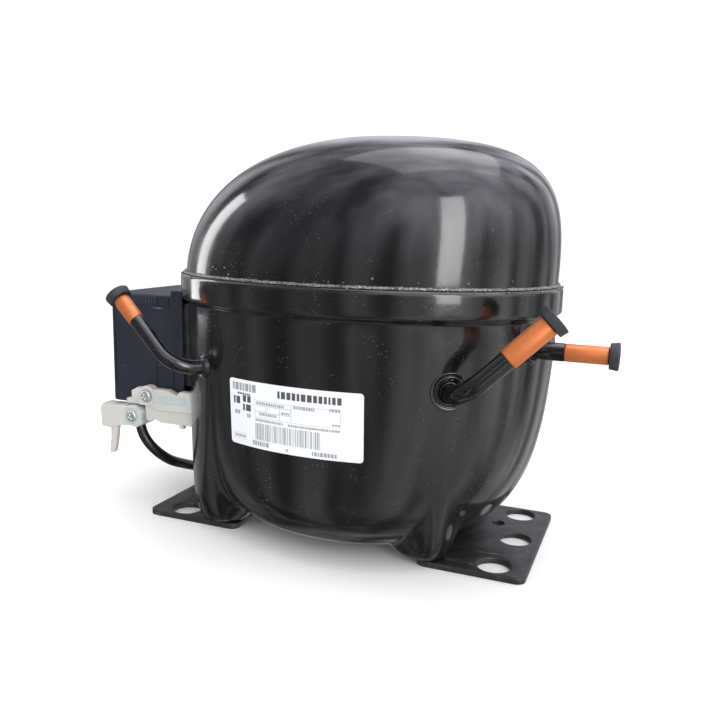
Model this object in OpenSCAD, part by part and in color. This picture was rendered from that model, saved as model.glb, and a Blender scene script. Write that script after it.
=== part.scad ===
// Hermetic reciprocating compressor for a small refrigerating circuit.
// Millimetres. Origin: centre of the four base bolt holes, on the underside of the base plates.
// +Z is up, +X runs towards the process tube, -Y is the side with the rating label.

/* [Shell] */
// Half length of the rim band
rim_a = 100.6; // [99.6:0.1:101]
// Half width of the rim band
rim_b = 75.7; // [75:0.1:77]
// Sheet thickness of both shells
shell_t = 2.6; // [2.2:0.1:2.8]
// Top of the rim band
rim_top = 132.4; // [131.8:0.1:133]
// Top of the dome
dome_top = 200.9; // [199:0.1:206]
// Lowest point of the belly
pan_low = 1.5; // [1:0.1:2.5]

/* [Base] */
// Thickness of the base plates
plate_t = 3; // [2.5:0.1:3]
// Distance between the bolt holes along the length
bolt_x = 170; // [169:0.5:171]
// Distance between the bolt holes across the width
bolt_y = 70; // [69:0.5:71]
// Radius of the bolt holes
bolt_r = 8; // [7:0.1:8.5]

/* [Tubes] */
// Outer radius of the suction tube
suction_r = 4.4; // [4.2:0.1:4.6]
// Outer radius of the discharge tube
discharge_r = 3.6; // [3.4:0.1:3.8]
// Outer radius of the process tube
process_r = 4.1; // [3.7:0.1:4.2]
// Outer radius of the copper end on the suction tube
suction_stub_r = 4.8; // [4.7:0.1:4.9]
// Outer radius of the copper ends on the other two tubes
small_stub_r = 4; // [3.9:0.1:4.1]
// Wall of the tubes
tube_wall = 0.7; // [0.6:0.1:0.9]

/* [Pump] */
// Half of the piston's stroke
throw = 8.25; // [7.5:0.05:8.3]
// Radius of the piston
piston_r = 13; // [12.5:0.1:13.2]
// Radius of the crankshaft
shaft_r = 9; // [8.8:0.1:9]
// Height of the cylinder's axis
bore_z = 150; // [149:0.5:151]

/* [Hidden] */
$fn = 48;

// Plan of the shell: an oval with slightly full corners, off the bolt centre
oval_n = 2.02;
shell_x = 2.8;
shell_y = -0.9;
skirt = 0.1;
oval_steps = 96;
oval_turn = 360 / oval_steps;

// Lower shell: wall below the rim, its draft, and the rounding into the belly
step_in = 3.2;
step_top = 120.5;
step_low = 117;
pan_draft = 0.058;
pan_round_x = 113.2;
pan_round_y = 35.8;
pan_power_x = 3.64;
pan_power_y = 2.93;
pan_rings = 16;
// The +X end bows out a little below the rim
end_bow = 1.9;
bow_top = 116;
bow_fade = 12;

// Dome: height where it starts to close, and how square each end's shoulder is
dome_foot = 124.3;
dome_swell = 0.029;
dome_swell_z = 131;
dome_right = 3.92;
dome_left = 2.17;
dome_rings = 13;

// Drawn legs, standing on the base plates. Each is wider towards the middle of the shell
leg_x = [-61.5, 52];
leg_y = 37;
leg_flat = 8;
leg_rise = 0.23;
leg_power = 2.2;
leg_inner = 0.75;
leg_blend = 10;
leg_fade = [90, 116];

// Base plates
plate_in = 49;
plate_out = [103.5, 101];
plate_half = 45;
plate_corner = 4.5;
mid_hole_x = 88.6;
peg_hole = [76, 18];
peg_r = 3.3;

// Rating label
label_x = [-39.5, 30.5];
label_z = [54.5, 86.5];
label_gap = 0.15;
label_t = 0.3;
label_steps = 16;

// Tube roots on the shell, the way out, and the way the open end points
suction_root = [65.16, -55.81, 88.3];
suction_out = -62;
suction_run = [2.65, 15.3, 13, 21.5];
suction_end = [17, 43];
discharge_root = [-60.08, -55.94, 88];
discharge_out = -126.5;
discharge_run = [3.6, 17.3, 20.2, 13.6];
discharge_end = [172.3, 43];
process_root = [95.1, -26.08, 105.6];
process_out = -24;
process_run = [1.6, 20, 4.8, 18.8];
process_end = [0, 0];
tube_in = 5.5;
tube_sides = 24;
bend_steps = 9;
collar_in = 4;
stub_wall = 0.65;
stub_floor = 2;

// Rubber plugs
plug_gap = 0.3;
plug_stem = 9;
plug_fit = 0.06;
plug_t = 4;
plug_lip = [1.8, 2.25];

// Terminal and electrical unit on the -X end
term_z = 92;
term_face = -95.4;
pin_r = 1.15;
pin_ring = 6.5;
pin_fit = 0.05;
end_r = 54;
end_wall = -93.2;
rim_r = 57;
rim_wall = -97.8;
cover_x = [-136, -88];
cover_y = [-32, 32];
cover_z = [58, 119];
cover_t = 2;
cover_floor = 62;
notch_x = [-124.5, -113.5];
lid_tab = [5, 3];
upper_screw = [-108.7, 64.2];
lower_screw = [-118.4, 51.8];
clamp_face = -38;
boss_depth = 2;

// Black lead from the cord clamp, below the cover, up to the capacitor
lead_r = 2.8;
lead_route = [[-118, -31.3, 50], [-117.7, -31.6, 44], [-114, -32, 37.5], [-110, -28.5, 30.5],
    [-107, -20.5, 23.5], [-106, -9, 18], [-106, 5, 12.5], [-106, 18, 10], [-107, 31, 12.5],
    [-109, 42, 20], [-111, 48.5, 30], [-112.5, 51.5, 42], [-113, 52, 49.5]];
cap_c = [-113, 52];
cap_r = 17;
cap_z = [50, 118];

// Motor
stator_z = [48, 98];
stator_w = 108;
stator_d = 100;
stator_corner = 14;
stator_bore = 33;
rotor_r = 32.4;
screw_x = 40;
screw_y = 42;
screw_r = 2.5;

// Springs
bracket_w = 13.6;
spring_mean = 6;
spring_wire = 0.9;
spring_z = [8.2, 42.2];
spring_turns = 6;

// Discharge shock loop and the motor's leads, which flex with the suspension
line_route = [[-38, -51, 146], [-38.3, -54.3, 144.6], [-37.5, -56.5, 137], [-31, -58.5, 127],
    [-14, -61.5, 116], [4, -62, 102], [14, -62, 84], [2, -61.5, 68], [-18, -60.5, 60],
    [-38, -58.5, 61], [-51, -52.5, 70], [-54.6, -49.2, 80], [-54.8, -48.9, 90]];
lead_in_route = [[-74, -0.9, 98], [-70, -0.9, 99], [-65, -0.5, 106], [-58, 0, 114],
    [-50, 1, 117], [-44, 1, 116], [-40, 1, 110.6]];

// Pump
deck_z = [124, 134];
block_x = [24, 56];
block_z = [133.9, 168];
head_bolt = [16.5, 12];
run_fit = 0.05;
yoke_half = 15;
yoke_wide = 25;
yoke_tall = 8;
slot_half = 10.2;
slot_long = 19.5;
pin_big = 7;

// Signed power, for ovals
function spow(v, p) = sign(v) * pow(abs(v), p);
// Closing profile: 1 at u = 0, 0 at u = 1
function closing(u, m) = pow(max(0, 1 - pow(min(1, max(0, u)), m)), 1 / m);
function oval(a, b, t) = [a * spow(cos(t), 2 / oval_n), b * spow(sin(t), 2 / oval_n)];
function ring(a, b, z) = [for (i = [0:oval_steps - 1])
    let (p = oval(a, b, i * oval_turn)) [p[0] + shell_x, p[1] + shell_y, z]];
// Smaller of two heights, blended over k
function soft_min(a, b, k) = let (h = max(k - abs(a - b), 0) / k) min(a, b) - h * h * k / 4;
// Height of a leg's surface at a place, and the wall's height pulled down to it
function leg_reach(v) = v < 0 ? v * leg_inner : v;
function leg_height(p, inset) = let (dx = leg_reach(p[0] > 0 ? p[0] - leg_x[1] : leg_x[0] - p[0]),
    dy = leg_reach(abs(p[1]) - leg_y))
    plate_t + inset + leg_rise * pow(max(0, norm([dx, dy]) + inset - leg_flat), leg_power);
// Smooth step from 1 below a height to 0 above it
function fade_below(z, top, span) = let (f = min(1, max(0, (top - z) / span))) f * f * (3 - 2 * f);
function with_leg(p, inset) = let (soft = soft_min(p[2], leg_height(p, inset), leg_blend),
    low = max(soft, min(p[2], plate_t + inset)))
    [p[0], p[1], p[2] + (low - p[2]) * fade_below(p[2], leg_fade[1], leg_fade[1] - leg_fade[0])];
function with_bow(p) = let (s = max(0, (p[0] - shell_x) / rim_a))
    [p[0] + end_bow * s * s * fade_below(p[2], bow_top, bow_fade), p[1], p[2]];
// Half length and half width of the pan at a height
function pan_fall(z) = 1 - pan_draft * (step_low - z) / 100;
function pan_half(full, z, round_z, m, inset) = let (low = pan_low + inset)
    (full - step_in - inset) * pan_fall(z) * closing((round_z - z) / (round_z - low), m);
function pan_ring(z, inset) = [for (p = ring(pan_half(rim_a, z, pan_round_x, pan_power_x, inset),
    pan_half(rim_b, z, pan_round_y, pan_power_y, inset), z)) with_leg(with_bow(p), inset)];
// Heights of the pan's rings, close together where the belly turns under
function pan_level(i, inset) = let (low = pan_low + inset)
    low + (step_low - low) * pow(i / pan_rings, 2.2);
// One ring of the dome, with a square shoulder at +X and a long slope at -X
function dome_ring(z, inset) = let (u = (z - dome_foot) / (dome_top - inset - dome_foot),
    a = rim_a - shell_t - skirt - inset, b = rim_b - shell_t - skirt - inset,
    swell = 1 + dome_swell * max(0, z - dome_swell_z) / 100)
    [for (i = [0:oval_steps - 1]) let (p = oval(a, b, i * oval_turn), s = (p[0] / a + 1) / 2,
        w = s * s * (3 - 2 * s), k = swell * (closing(u, dome_right) * w
        + closing(u, dome_left) * (1 - w))) [p[0] * k + shell_x, p[1] * k + shell_y, z]];
function dome_level(i, inset) = let (top = dome_top - inset)
    top - (top - dome_foot) * pow(i / dome_rings, 2.1);

// Closed solid through rings that share one point count, capped by a point at each end
module ring_solid(first, rings, last) {
    n = len(rings[0]);
    m = len(rings);
    points = concat([first], [for (r = rings) each r], [last]);
    faces = concat(
        [for (i = [0:n - 1]) [0, 1 + i, 1 + (i + 1) % n]],
        [for (k = [0:m - 2], i = [0:n - 1]) [1 + k * n + i, 1 + (k + 1) * n + i,
            1 + k * n + (i + 1) % n]],
        [for (k = [0:m - 2], i = [0:n - 1]) [1 + k * n + (i + 1) % n, 1 + (k + 1) * n + i,
            1 + (k + 1) * n + (i + 1) % n]],
        [for (i = [0:n - 1]) [1 + m * n, 1 + (m - 1) * n + (i + 1) % n, 1 + (m - 1) * n + i]]);
    polyhedron(points, faces);
}

// Round bar swept along points, used for wires, leads and springs
function unit(v) = v / norm(v);
function tangent(path, i) = unit(path[min(i + 1, len(path) - 1)] - path[max(i - 1, 0)]);
function across(t, up) = unit(cross(t, up));
function bar_ring(path, i, r, sides, up) = let (t = tangent(path, i), u = across(t, up),
    v = cross(t, u)) [for (k = [0:sides - 1]) path[i]
    + r * (u * cos(360 * k / sides) + v * sin(360 * k / sides))];
module swept_bar(path, r, sides, up) {
    ring_solid(path[0], [for (i = [0:len(path) - 1]) bar_ring(path, i, r, sides, up)],
        path[len(path) - 1]);
}
// Closed solid through a loop of rings, for a tube's outside and bore
module ring_loop(rings) {
    n = len(rings[0]);
    m = len(rings);
    polyhedron([for (r = rings) each r], [for (k = [0:m - 1], i = [0:n - 1])
        let (a = k * n, b = ((k + 1) % m) * n, j = (i + 1) % n)
        each [[a + i, b + i, a + j], [a + j, b + i, b + j]]]);
}
module swept_tube(path, r, wall, sides, up) {
    last = len(path) - 1;
    ring_loop(concat([for (i = [0:last]) bar_ring(path, i, r, sides, up)],
        [for (i = [last:-1:0]) bar_ring(path, i, r - wall, sides, up)]));
}
// Catmull-Rom curve through the points, with some steps on each stretch
function curve_at(p0, p1, p2, p3, t) = (2 * p1 + (p2 - p0) * t
    + (2 * p0 - 5 * p1 + 4 * p2 - p3) * t * t + (3 * p1 - p0 - 3 * p2 + p3) * t * t * t) / 2;
function smooth_route(p, steps) = concat([for (i = [0:len(p) - 2], k = [0:steps - 1])
    curve_at(p[max(i - 1, 0)], p[i], p[i + 1], p[min(i + 2, len(p) - 1)], k / steps)],
    [p[len(p) - 1]]);

// Directions and local frames for the tubes
function heading(az, el) = [cos(el) * cos(az), cos(el) * sin(az), sin(el)];
function turn_side(out, end) = unit(end - out * (out * end));
function bend_angle(out, end) = acos(max(-1, min(1, out * end)));
module along(p, out, side) {
    up = cross(out, side);
    multmatrix([[out[0], side[0], up[0], p[0]], [out[1], side[1], up[1], p[1]],
        [out[2], side[2], up[2], p[2]], [0, 0, 0, 1]])
        children();
}
module bar_x(r, length) {
    rotate([0, 90, 0]) cylinder(r = r, h = length);
}
// Where a tube goes: in through the wall, straight out, round one bend, then straight on
function tube_corner(root, out, side, angle, run) =
    root + out * (run[0] + run[1] * sin(angle)) + side * run[1] * (1 - cos(angle));
function tube_path(root, out, end, run) = let (side = turn_side(out, end),
    angle = bend_angle(out, end))
    concat([root - tube_in * out], [for (i = [0:bend_steps]) let (t = angle * i / bend_steps)
        tube_corner(root, out, side, t, run)],
        [tube_corner(root, out, side, angle, run) + end * run[2]]);
module bent_tube(root, out_az, run, end_dir, r) {
    out = heading(out_az, 0);
    end = heading(end_dir[0], end_dir[1]);
    swept_tube(tube_path(root, out, end, run), r, tube_wall, tube_sides, cross(out, end));
}
// Places children with +Z along the tube's open end, at the end of its painted part
module at_tube_end(root, out_az, run, end_dir) {
    out = heading(out_az, 0);
    end = heading(end_dir[0], end_dir[1]);
    angle = bend_angle(out, end);
    side = turn_side(out, end);
    corner = tube_corner(root, out, side, angle, run);
    level = cross(out, side);
    along(corner + end * run[2], cross(level, end), level) children();
}
module copper_stub(outer, r, length) {
    difference() {
        union() {
            cylinder(r1 = outer - 0.5, r2 = outer, h = 0.8);
            translate([0, 0, 0.8]) cylinder(r = outer, h = length - 0.8);
        }
        translate([0, 0, -1]) cylinder(r = r - tube_wall, h = 4);
        translate([0, 0, stub_floor]) cylinder(r = outer - stub_wall, h = length);
    }
}
module rubber_plug(outer, length) {
    stem = outer - stub_wall - plug_fit;
    inner = outer + plug_lip[0];
    wide = outer + plug_lip[1];
    translate([0, 0, length + plug_gap]) rotate_extrude() polygon([[0, -plug_stem],
        [stem - 0.8, -plug_stem], [stem, 1.5 - plug_stem], [stem, 0], [inner - 0.3, 0],
        [inner, 0.3], [wide, plug_t - 0.6], [wide - 0.5, plug_t], [wide - 2, plug_t + 0.2],
        [0, plug_t + 0.2]]);
}
module brazed_collar(root, out_az, r, flange) {
    out = heading(out_az, 0);
    along(root, out, [0, 0, 1]) rotate([0, 90, 0]) rotate_extrude() polygon([[r + 0.05, -collar_in],
        [r + 1.2, -collar_in], [r + 1.2, 0.4], [flange, 0.4], [flange - 0.2, 1.1],
        [(flange + r) / 2, 1.3], [r + 0.6, 2.2], [r + 0.05, 2.4]]);
}
module collar_hole(root, out_az, r) {
    out = heading(out_az, 0);
    along(root - 12 * out, out, [0, 0, 1]) bar_x(r + 1.3, 24);
}
module rounded_rect(w, d, r) {
    square([w - 2 * r, d], center = true);
    square([w, d - 2 * r], center = true);
    for (x = [-1, 1], y = [-1, 1]) translate([x * (w / 2 - r), y * (d / 2 - r)]) circle(r);
}

// Shells
module shell_lower() {
    inner_step = shell_t + step_in;
    outer = [for (i = [1:pan_rings]) pan_ring(pan_level(i, 0), 0)];
    inner = [for (i = [pan_rings - 1:-1:1]) pan_ring(pan_level(i, shell_t), shell_t)];
    rim = [ring(rim_a, rim_b, step_top), ring(rim_a, rim_b, rim_top - 1),
        ring(rim_a - 1, rim_b - 1, rim_top), ring(rim_a - shell_t, rim_b - shell_t, rim_top),
        ring(rim_a - shell_t, rim_b - shell_t, step_top + 0.4),
        ring(rim_a - inner_step, rim_b - inner_step, step_low)];
    color("#15161a") difference() {
        ring_solid([shell_x, shell_y, pan_low], concat(outer, rim, inner),
            [shell_x, shell_y, pan_low + shell_t]);
        collar_hole(suction_root, suction_out, suction_r);
        collar_hole(discharge_root, discharge_out, discharge_r);
        collar_hole(process_root, process_out, process_r);
        translate([-110, shell_y, term_z]) bar_x(15, 30);
    }
}
module shell_upper() {
    a = rim_a - shell_t - skirt;
    b = rim_b - shell_t - skirt;
    outer = [for (i = [1:dome_rings]) dome_ring(dome_level(i, 0), 0)];
    inner = [for (i = [dome_rings:-1:1]) dome_ring(dome_level(i, shell_t), shell_t)];
    foot = [ring(a, b, step_top + 1), ring(a - shell_t, b - shell_t, step_top + 1)];
    color("#15161a") ring_solid([shell_x, shell_y, dome_top], [for (r = concat(outer, foot, inner))
        [for (i = [len(r) - 1:-1:0]) r[i]]], [shell_x, shell_y, dome_top - shell_t]);
}
module weld_bead() {
    gap = shell_t + skirt - 0.3;
    color("#3b3a38") translate([0, 0, rim_top]) linear_extrude(2.2) difference() {
        polygon([for (p = ring(rim_a - 0.9, rim_b - 0.9, 0)) [p[0], p[1]]]);
        polygon([for (p = ring(rim_a - gap, rim_b - gap, 0)) [p[0], p[1]]]);
    }
}

// Base plates
module plate_outline(out) {
    difference() {
        translate([(plate_in + out) / 2, 0])
            rounded_rect(out - plate_in, 2 * plate_half, plate_corner);
        for (y = [-1, 1]) translate([bolt_x / 2, y * bolt_y / 2]) circle(bolt_r);
        translate([mid_hole_x, 0]) circle(bolt_r);
        translate(peg_hole) circle(peg_r);
    }
}
module base_plate_right() {
    color("#232427") linear_extrude(plate_t) plate_outline(plate_out[1]);
}
module base_plate_left() {
    color("#232427") mirror([1, 0, 0]) linear_extrude(plate_t) plate_outline(plate_out[0]);
}

// Rating label: a thin curved patch that stands just off the wall
function wall_y(x, z, off) = let (a = pan_half(rim_a, z, pan_round_x, pan_power_x, 0) + off,
    b = pan_half(rim_b, z, pan_round_y, pan_power_y, 0) + off)
    shell_y - b * pow(1 - pow(abs((x - shell_x) / a), oval_n), 1 / oval_n);
function label_ring(x, off) = [for (z = [label_z[1], label_z[0]]) [x, wall_y(x, z, off), z]];
module rating_label() {
    rings = [for (i = [0:label_steps]) let (x = label_x[0] + (label_x[1] - label_x[0]) * i
        / label_steps) concat([for (p = label_ring(x, label_gap)) p],
        [for (p = label_ring(x, label_gap + label_t)) [p[0], p[1], p[2]]])];
    points = [for (r = rings) each [r[0], r[1], r[3], r[2]]];
    sides = [for (k = [0:label_steps - 1], i = [0:3]) let (a = 4 * k + i,
        b = 4 * k + (i + 1) % 4) each [[a, a + 4, b], [b, a + 4, b + 4]]];
    last = 4 * label_steps;
    color("#e9eaec") polyhedron(points, concat(sides, [[0, 1, 2], [0, 2, 3],
        [last + 2, last + 1, last], [last + 3, last + 2, last]]));
}

// Tubes, collars, copper ends and rubber plugs
module suction_collar() {
    color("#1b1b1d") brazed_collar(suction_root, suction_out, suction_r, 8.8);
}
module discharge_collar() {
    color("#1b1b1d") brazed_collar(discharge_root, discharge_out, discharge_r, 5.8);
}
module process_collar() {
    color("#1b1b1d") brazed_collar(process_root, process_out, process_r, 7);
}
module suction_tube() {
    color("#101012") bent_tube(suction_root, suction_out, suction_run, suction_end, suction_r);
}
module discharge_tube() {
    color("#101012") bent_tube(discharge_root, discharge_out, discharge_run, discharge_end,
        discharge_r);
}
module process_tube() {
    color("#101012") bent_tube(process_root, process_out, process_run, process_end, process_r);
}
module suction_stub() {
    color("#c8672f") at_tube_end(suction_root, suction_out, suction_run, suction_end)
        copper_stub(suction_stub_r, suction_r, suction_run[3]);
}
module discharge_stub() {
    color("#c8672f") at_tube_end(discharge_root, discharge_out, discharge_run, discharge_end)
        copper_stub(small_stub_r, discharge_r, discharge_run[3]);
}
module process_stub() {
    color("#c8672f") at_tube_end(process_root, process_out, process_run, process_end)
        copper_stub(small_stub_r, process_r, process_run[3]);
}
module suction_plug() {
    color("#26282b") at_tube_end(suction_root, suction_out, suction_run, suction_end)
        rubber_plug(suction_stub_r, suction_run[3]);
}
module discharge_plug() {
    color("#26282b") at_tube_end(discharge_root, discharge_out, discharge_run, discharge_end)
        rubber_plug(small_stub_r, discharge_run[3]);
}
module process_plug() {
    color("#26282b") at_tube_end(process_root, process_out, process_run, process_end)
        rubber_plug(small_stub_r, process_run[3]);
}

// Terminal in the -X end: cup, three glass beads, three pins, and the fence round it
function pin_place(i) = [shell_y + pin_ring * sin(120 * i), term_z + pin_ring * cos(120 * i)];
module on_pins(x) {
    for (i = [0:2]) translate([x, pin_place(i)[0], pin_place(i)[1]]) children();
}
module terminal_cup() {
    color("#9a9a98") difference() {
        translate([term_face, shell_y, term_z]) bar_x(14.95, 12);
        translate([term_face + 2.5, shell_y, term_z]) bar_x(12.5, 12);
        on_pins(term_face - 1) bar_x(3.2, 6);
    }
}
module terminal_glass() {
    color("#5c7f78") on_pins(term_face - 0.4) difference() {
        bar_x(3.15, 2.8);
        translate([-1, 0, 0]) bar_x(pin_r + 0.02, 5);
    }
}
module terminal_pins() {
    color("#c9c6bd") on_pins(term_face - 12) bar_x(pin_r, 30);
}
module end_clearance(gap) {
    translate([end_wall + end_r, shell_y, 0]) cylinder(r = end_r + gap, h = 220, $fn = 96);
}
module terminal_fence() {
    color("#b4b6b8") difference() {
        translate([-99.5, shell_y - 27, 70]) cube([13.5, 54, 44]);
        translate([-101, shell_y - 25.8, 71.2]) cube([20, 51.6, 41.6]);
        end_clearance(0.3);
    }
}

// Suspension
module at_springs() {
    for (x = leg_x, y = [-1, 1]) translate([x, y * leg_y, 0]) children();
}
module spring_pins() {
    color("#2b2b2b") at_springs() {
        translate([0, 0, plate_t + shell_t + 0.1]) cylinder(r = 5.3, h = 2.3);
        translate([0, 0, 8]) cylinder(r1 = 4.6, r2 = 4, h = 10);
    }
}
module suspension_springs() {
    steps = 12 * spring_turns;
    rise = spring_z[1] - spring_z[0] - 2 * spring_wire;
    path = [for (i = [0:steps]) let (t = i / steps, a = 360 * spring_turns * t)
        [spring_mean * cos(a), spring_mean * sin(a), spring_z[0] + spring_wire + rise * t]];
    color("#8d8f92") at_springs() swept_bar(path, spring_wire, 6, [0, 0, 1]);
}
module discharge_line() {
    color("#7b6a55") swept_bar(smooth_route(line_route, 4), 2.2, 8, [0.1, 1, 0.2]);
}
module inner_leads() {
    color("#b9b4a6") for (y = [-4, 0, 4]) translate([0, y, 0])
        swept_bar(smooth_route(lead_in_route, 3), 1.4, 8, [0, 1, 0]);
}
module inner_connector() {
    color("#d8d3c4") difference() {
        translate([-83.2, shell_y - 11, term_z - 9.5]) cube([9, 22, 20]);
        on_pins(-84) bar_x(pin_r + pin_fit, 7.5);
    }
}

// Electrical unit
module rim_clearance() {
    translate([rim_wall + rim_r, shell_y, step_low - 0.4]) cylinder(r = rim_r + 1.4, h = 20, $fn = 96);
}
module relay_cover() {
    deep = cover_x[1] - cover_x[0];
    wide = cover_y[1] - cover_y[0];
    color("#252c3c") difference() {
        union() {
            translate([cover_x[0], cover_y[0], cover_z[0]]) cube([deep, wide, cover_z[1] - cover_z[0]]);
            translate([cover_x[1] - 10, cover_y[0], cover_z[1] - 1]) cube([10, lid_tab[0], lid_tab[1] + 1]);
        }
        translate([cover_x[0] + cover_t, cover_y[0] + cover_t, cover_floor + cover_t])
            cube([deep + 9, wide - 2 * cover_t, cover_z[1] - cover_floor - 2 * cover_t]);
        translate([notch_x[1] + cover_t, cover_y[0] + cover_t, cover_z[0] + cover_t])
            cube([deep, wide - 2 * cover_t, cover_floor - cover_z[0] + 1]);
        translate([notch_x[0], cover_y[0] - 1, cover_z[0] - 1])
            cube([notch_x[1] - notch_x[0], wide + 2, cover_floor - cover_z[0] + 1]);
        translate([upper_screw[0], -20, upper_screw[1]]) rotate([90, 0, 0])
            cylinder(r = 1.7, h = 20);
        end_clearance(2.4);
        rim_clearance();
    }
}
module start_relay() {
    color("#d9d6cc") difference() {
        translate([-122, shell_y - 19, term_z - 16]) cube([24, 38, 34]);
        on_pins(-110) bar_x(pin_r + pin_fit, 14);
    }
}
module overload_protector() {
    color("#1d1d1d") translate([-133, shell_y, term_z]) {
        bar_x(14, 9);
        translate([9, 0, 0]) bar_x(6, 1.8);
    }
}
module boss(place, r, depth) {
    translate([place[0], clamp_face + depth, place[1]]) rotate([90, 0, 0])
        cylinder(r = r, h = depth);
}
module clamp_base() {
    back = clamp_face + boss_depth;
    color("#e4e1d8") difference() {
        union() {
            translate([-120, back, 57.3]) cube([46, 3.7, 11.2]);
            translate([-111.4, back, 49.3]) cube([36, 3.7, 10]);
            translate([-118, clamp_face, 59.5]) cube([42, 3, 7]);
            translate([-124, back, 58]) cube([9.8, 12, 3.5]);
            translate([-124, clamp_face + 10.7, 46]) cube([9.8, 3.3, 13]);
            boss(upper_screw, 5.6, 5);
        }
        translate([upper_screw[0], -20, upper_screw[1]]) rotate([90, 0, 0])
            cylinder(r = 1.7, h = 30);
        end_clearance(2);
    }
}
module clamp_saddle() {
    color("#e4e1d8") difference() {
        union() {
            translate([-141, clamp_face, 45]) cube([29, 10.3, 10.5]);
            translate([-141, clamp_face, 43]) cube([13, 10, 14]);
            boss(lower_screw, 5.3, 10);
            translate([-137.5, -34, 27]) rotate([0, 9, 0]) cube([3, 3, 18]);
        }
        translate([-117.9, -31.3, 20]) cylinder(r = lead_r + 0.4, h = 60);
        boss(lower_screw, 1.7, 3.5);
    }
}
module clamp_screws() {
    color("#b9bdc0") {
        translate([upper_screw[0], clamp_face - 0.1, upper_screw[1]]) rotate([90, 0, 0])
            screw_head(9);
        translate([lower_screw[0], clamp_face - 0.1, lower_screw[1]]) rotate([90, 0, 0])
            screw_head(3);
    }
}
module screw_head(shank) {
    difference() {
        cylinder(r = 3.2, h = 1.8);
        translate([-0.5, -2.2, 0.9]) cube([1, 4.4, 2]);
        translate([-2.2, -0.5, 0.9]) cube([4.4, 1, 2]);
    }
    translate([0, 0, -shank]) cylinder(r = 1.6, h = shank);
}
module lead_cable() {
    color("#141416") swept_bar(smooth_route(lead_route, 3), lead_r, 12, [1, 0, 0.02]);
}
module start_capacitor() {
    color("#1c1c1f") {
        translate([cap_c[0], cap_c[1], cap_z[0]]) cylinder(r = cap_r, h = cap_z[1] - cap_z[0]);
        translate([cap_c[0], cap_c[1], cap_z[1]]) cylinder(r = cap_r - 2, h = 2);
    }
}
module capacitor_clip() {
    gap = cap_c[1] - cap_r - cover_y[1];
    color("#8f9296") translate([cap_c[0], cap_c[1], 84]) linear_extrude(12) difference() {
        union() {
            circle(cap_r + 1.4);
            translate([-9, -cap_r - gap]) square([18, 6]);
        }
        circle(cap_r + 0.05);
    }
}

// Pump frame, motor and suspension parts that hang on the springs
module at_screws() {
    for (x = [-1, 1], y = [-1, 1]) translate([x * screw_x, y * screw_y, 0]) children();
}
module crankcase() {
    color("#6c6e70") difference() {
        union() {
            translate([0, 0, deck_z[0]]) linear_extrude(deck_z[1] - deck_z[0])
                rounded_rect(104, 96, 16);
            at_screws() translate([0, 0, stator_z[1]]) cylinder(r = 7, h = 27);
            translate([0, 0, 101]) cylinder(r = 15, h = 25);
            translate([block_x[0], -20, block_z[0]])
                cube([block_x[1] - block_x[0], 40, block_z[1] - block_z[0]]);
        }
        translate([0, 0, 90]) cylinder(r = shaft_r + run_fit, h = 60);
        at_screws() translate([0, 0, 90]) cylinder(r = screw_r + 0.1, h = 32);
        translate([block_x[0] - 5, 0, bore_z]) bar_x(piston_r + run_fit, 60);
        at_head_bolts(block_x[1] - 14) bar_x(screw_r + 0.1, 30);
    }
}
module at_head_bolts(x) {
    for (y = [-1, 1], z = [-1, 1])
        translate([x, y * head_bolt[0], bore_z + z * head_bolt[1]]) children();
}
module stator_core() {
    color("#55585c") translate([0, 0, stator_z[0]]) linear_extrude(stator_z[1] - stator_z[0])
        difference() {
            rounded_rect(stator_w, stator_d, stator_corner);
            circle(stator_bore, $fn = 96);
            at_screws() circle(screw_r + 0.2);
        }
}
module stator_windings() {
    color("#a4522a") rotate_extrude($fn = 96) {
        translate([34.6, stator_z[1] + 0.2]) rounded_ring(8.2, 12);
        translate([34.6, stator_z[0] - 12.2]) rounded_ring(8.2, 12);
    }
}
module rounded_ring(w, h) {
    translate([w / 2, h / 2]) rounded_rect(w, h, 3);
}
module stator_screws() {
    color("#9a9da0") at_screws() {
        translate([0, 0, 42]) cylinder(r = screw_r, h = 78);
        translate([0, 0, 40.9]) cylinder(r = 4.4, h = 4, $fn = 6);
    }
}
module spring_brackets() {
    color("#7f8286") for (x = [0, 1], y = [-1, 1]) {
        screw = [(2 * x - 1) * screw_x, y * screw_y];
        arm = [leg_x[x], y * leg_y] - screw;
        translate([screw[0], screw[1], 45]) linear_extrude(2.9) difference() {
            union() {
                circle(7);
                translate(arm) circle(7.2);
                translate(arm / 2) rotate(atan2(arm[1], arm[0]))
                    square([norm(arm), bracket_w], center = true);
            }
            circle(screw_r + 0.2);
        }
    }
}
module spring_caps() {
    color("#2b2b2b") at_springs() {
        translate([0, 0, 42.4]) cylinder(r = 6.8, h = 2.5);
        translate([0, 0, 33]) cylinder(r1 = 4, r2 = 4.6, h = 9.5);
    }
}
// Stack on the cylinder's end: suction reed, valve plate, discharge reed, gasket and head
module head_sheet(x, t) {
    translate([x, -20, bore_z - 16]) cube([t, 40, 34]);
}
module suction_reed() {
    color("#c4c8cc") difference() {
        head_sheet(block_x[1], 0.4);
        translate([block_x[1] - 1, 0, bore_z]) difference() {
            bar_x(piston_r - 0.4, 3);
            translate([-1, -3, -piston_r]) cube([5, 6, 20]);
        }
        at_head_bolts(block_x[1] - 1) bar_x(screw_r + 0.2, 3);
    }
}
module valve_plate() {
    x = block_x[1] + 0.4;
    color("#8e9194") difference() {
        head_sheet(x, 3);
        at_head_bolts(x - 1) bar_x(screw_r + 0.2, 6);
        translate([x - 1, 0, bore_z - 4]) bar_x(2.5, 6);
        translate([x - 1, 0, bore_z + 7]) bar_x(2, 6);
    }
}
module discharge_reed() {
    color("#c4c8cc") translate([block_x[1] + 3.45, -2.8, bore_z + 2]) cube([0.4, 5.6, 12]);
}
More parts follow.
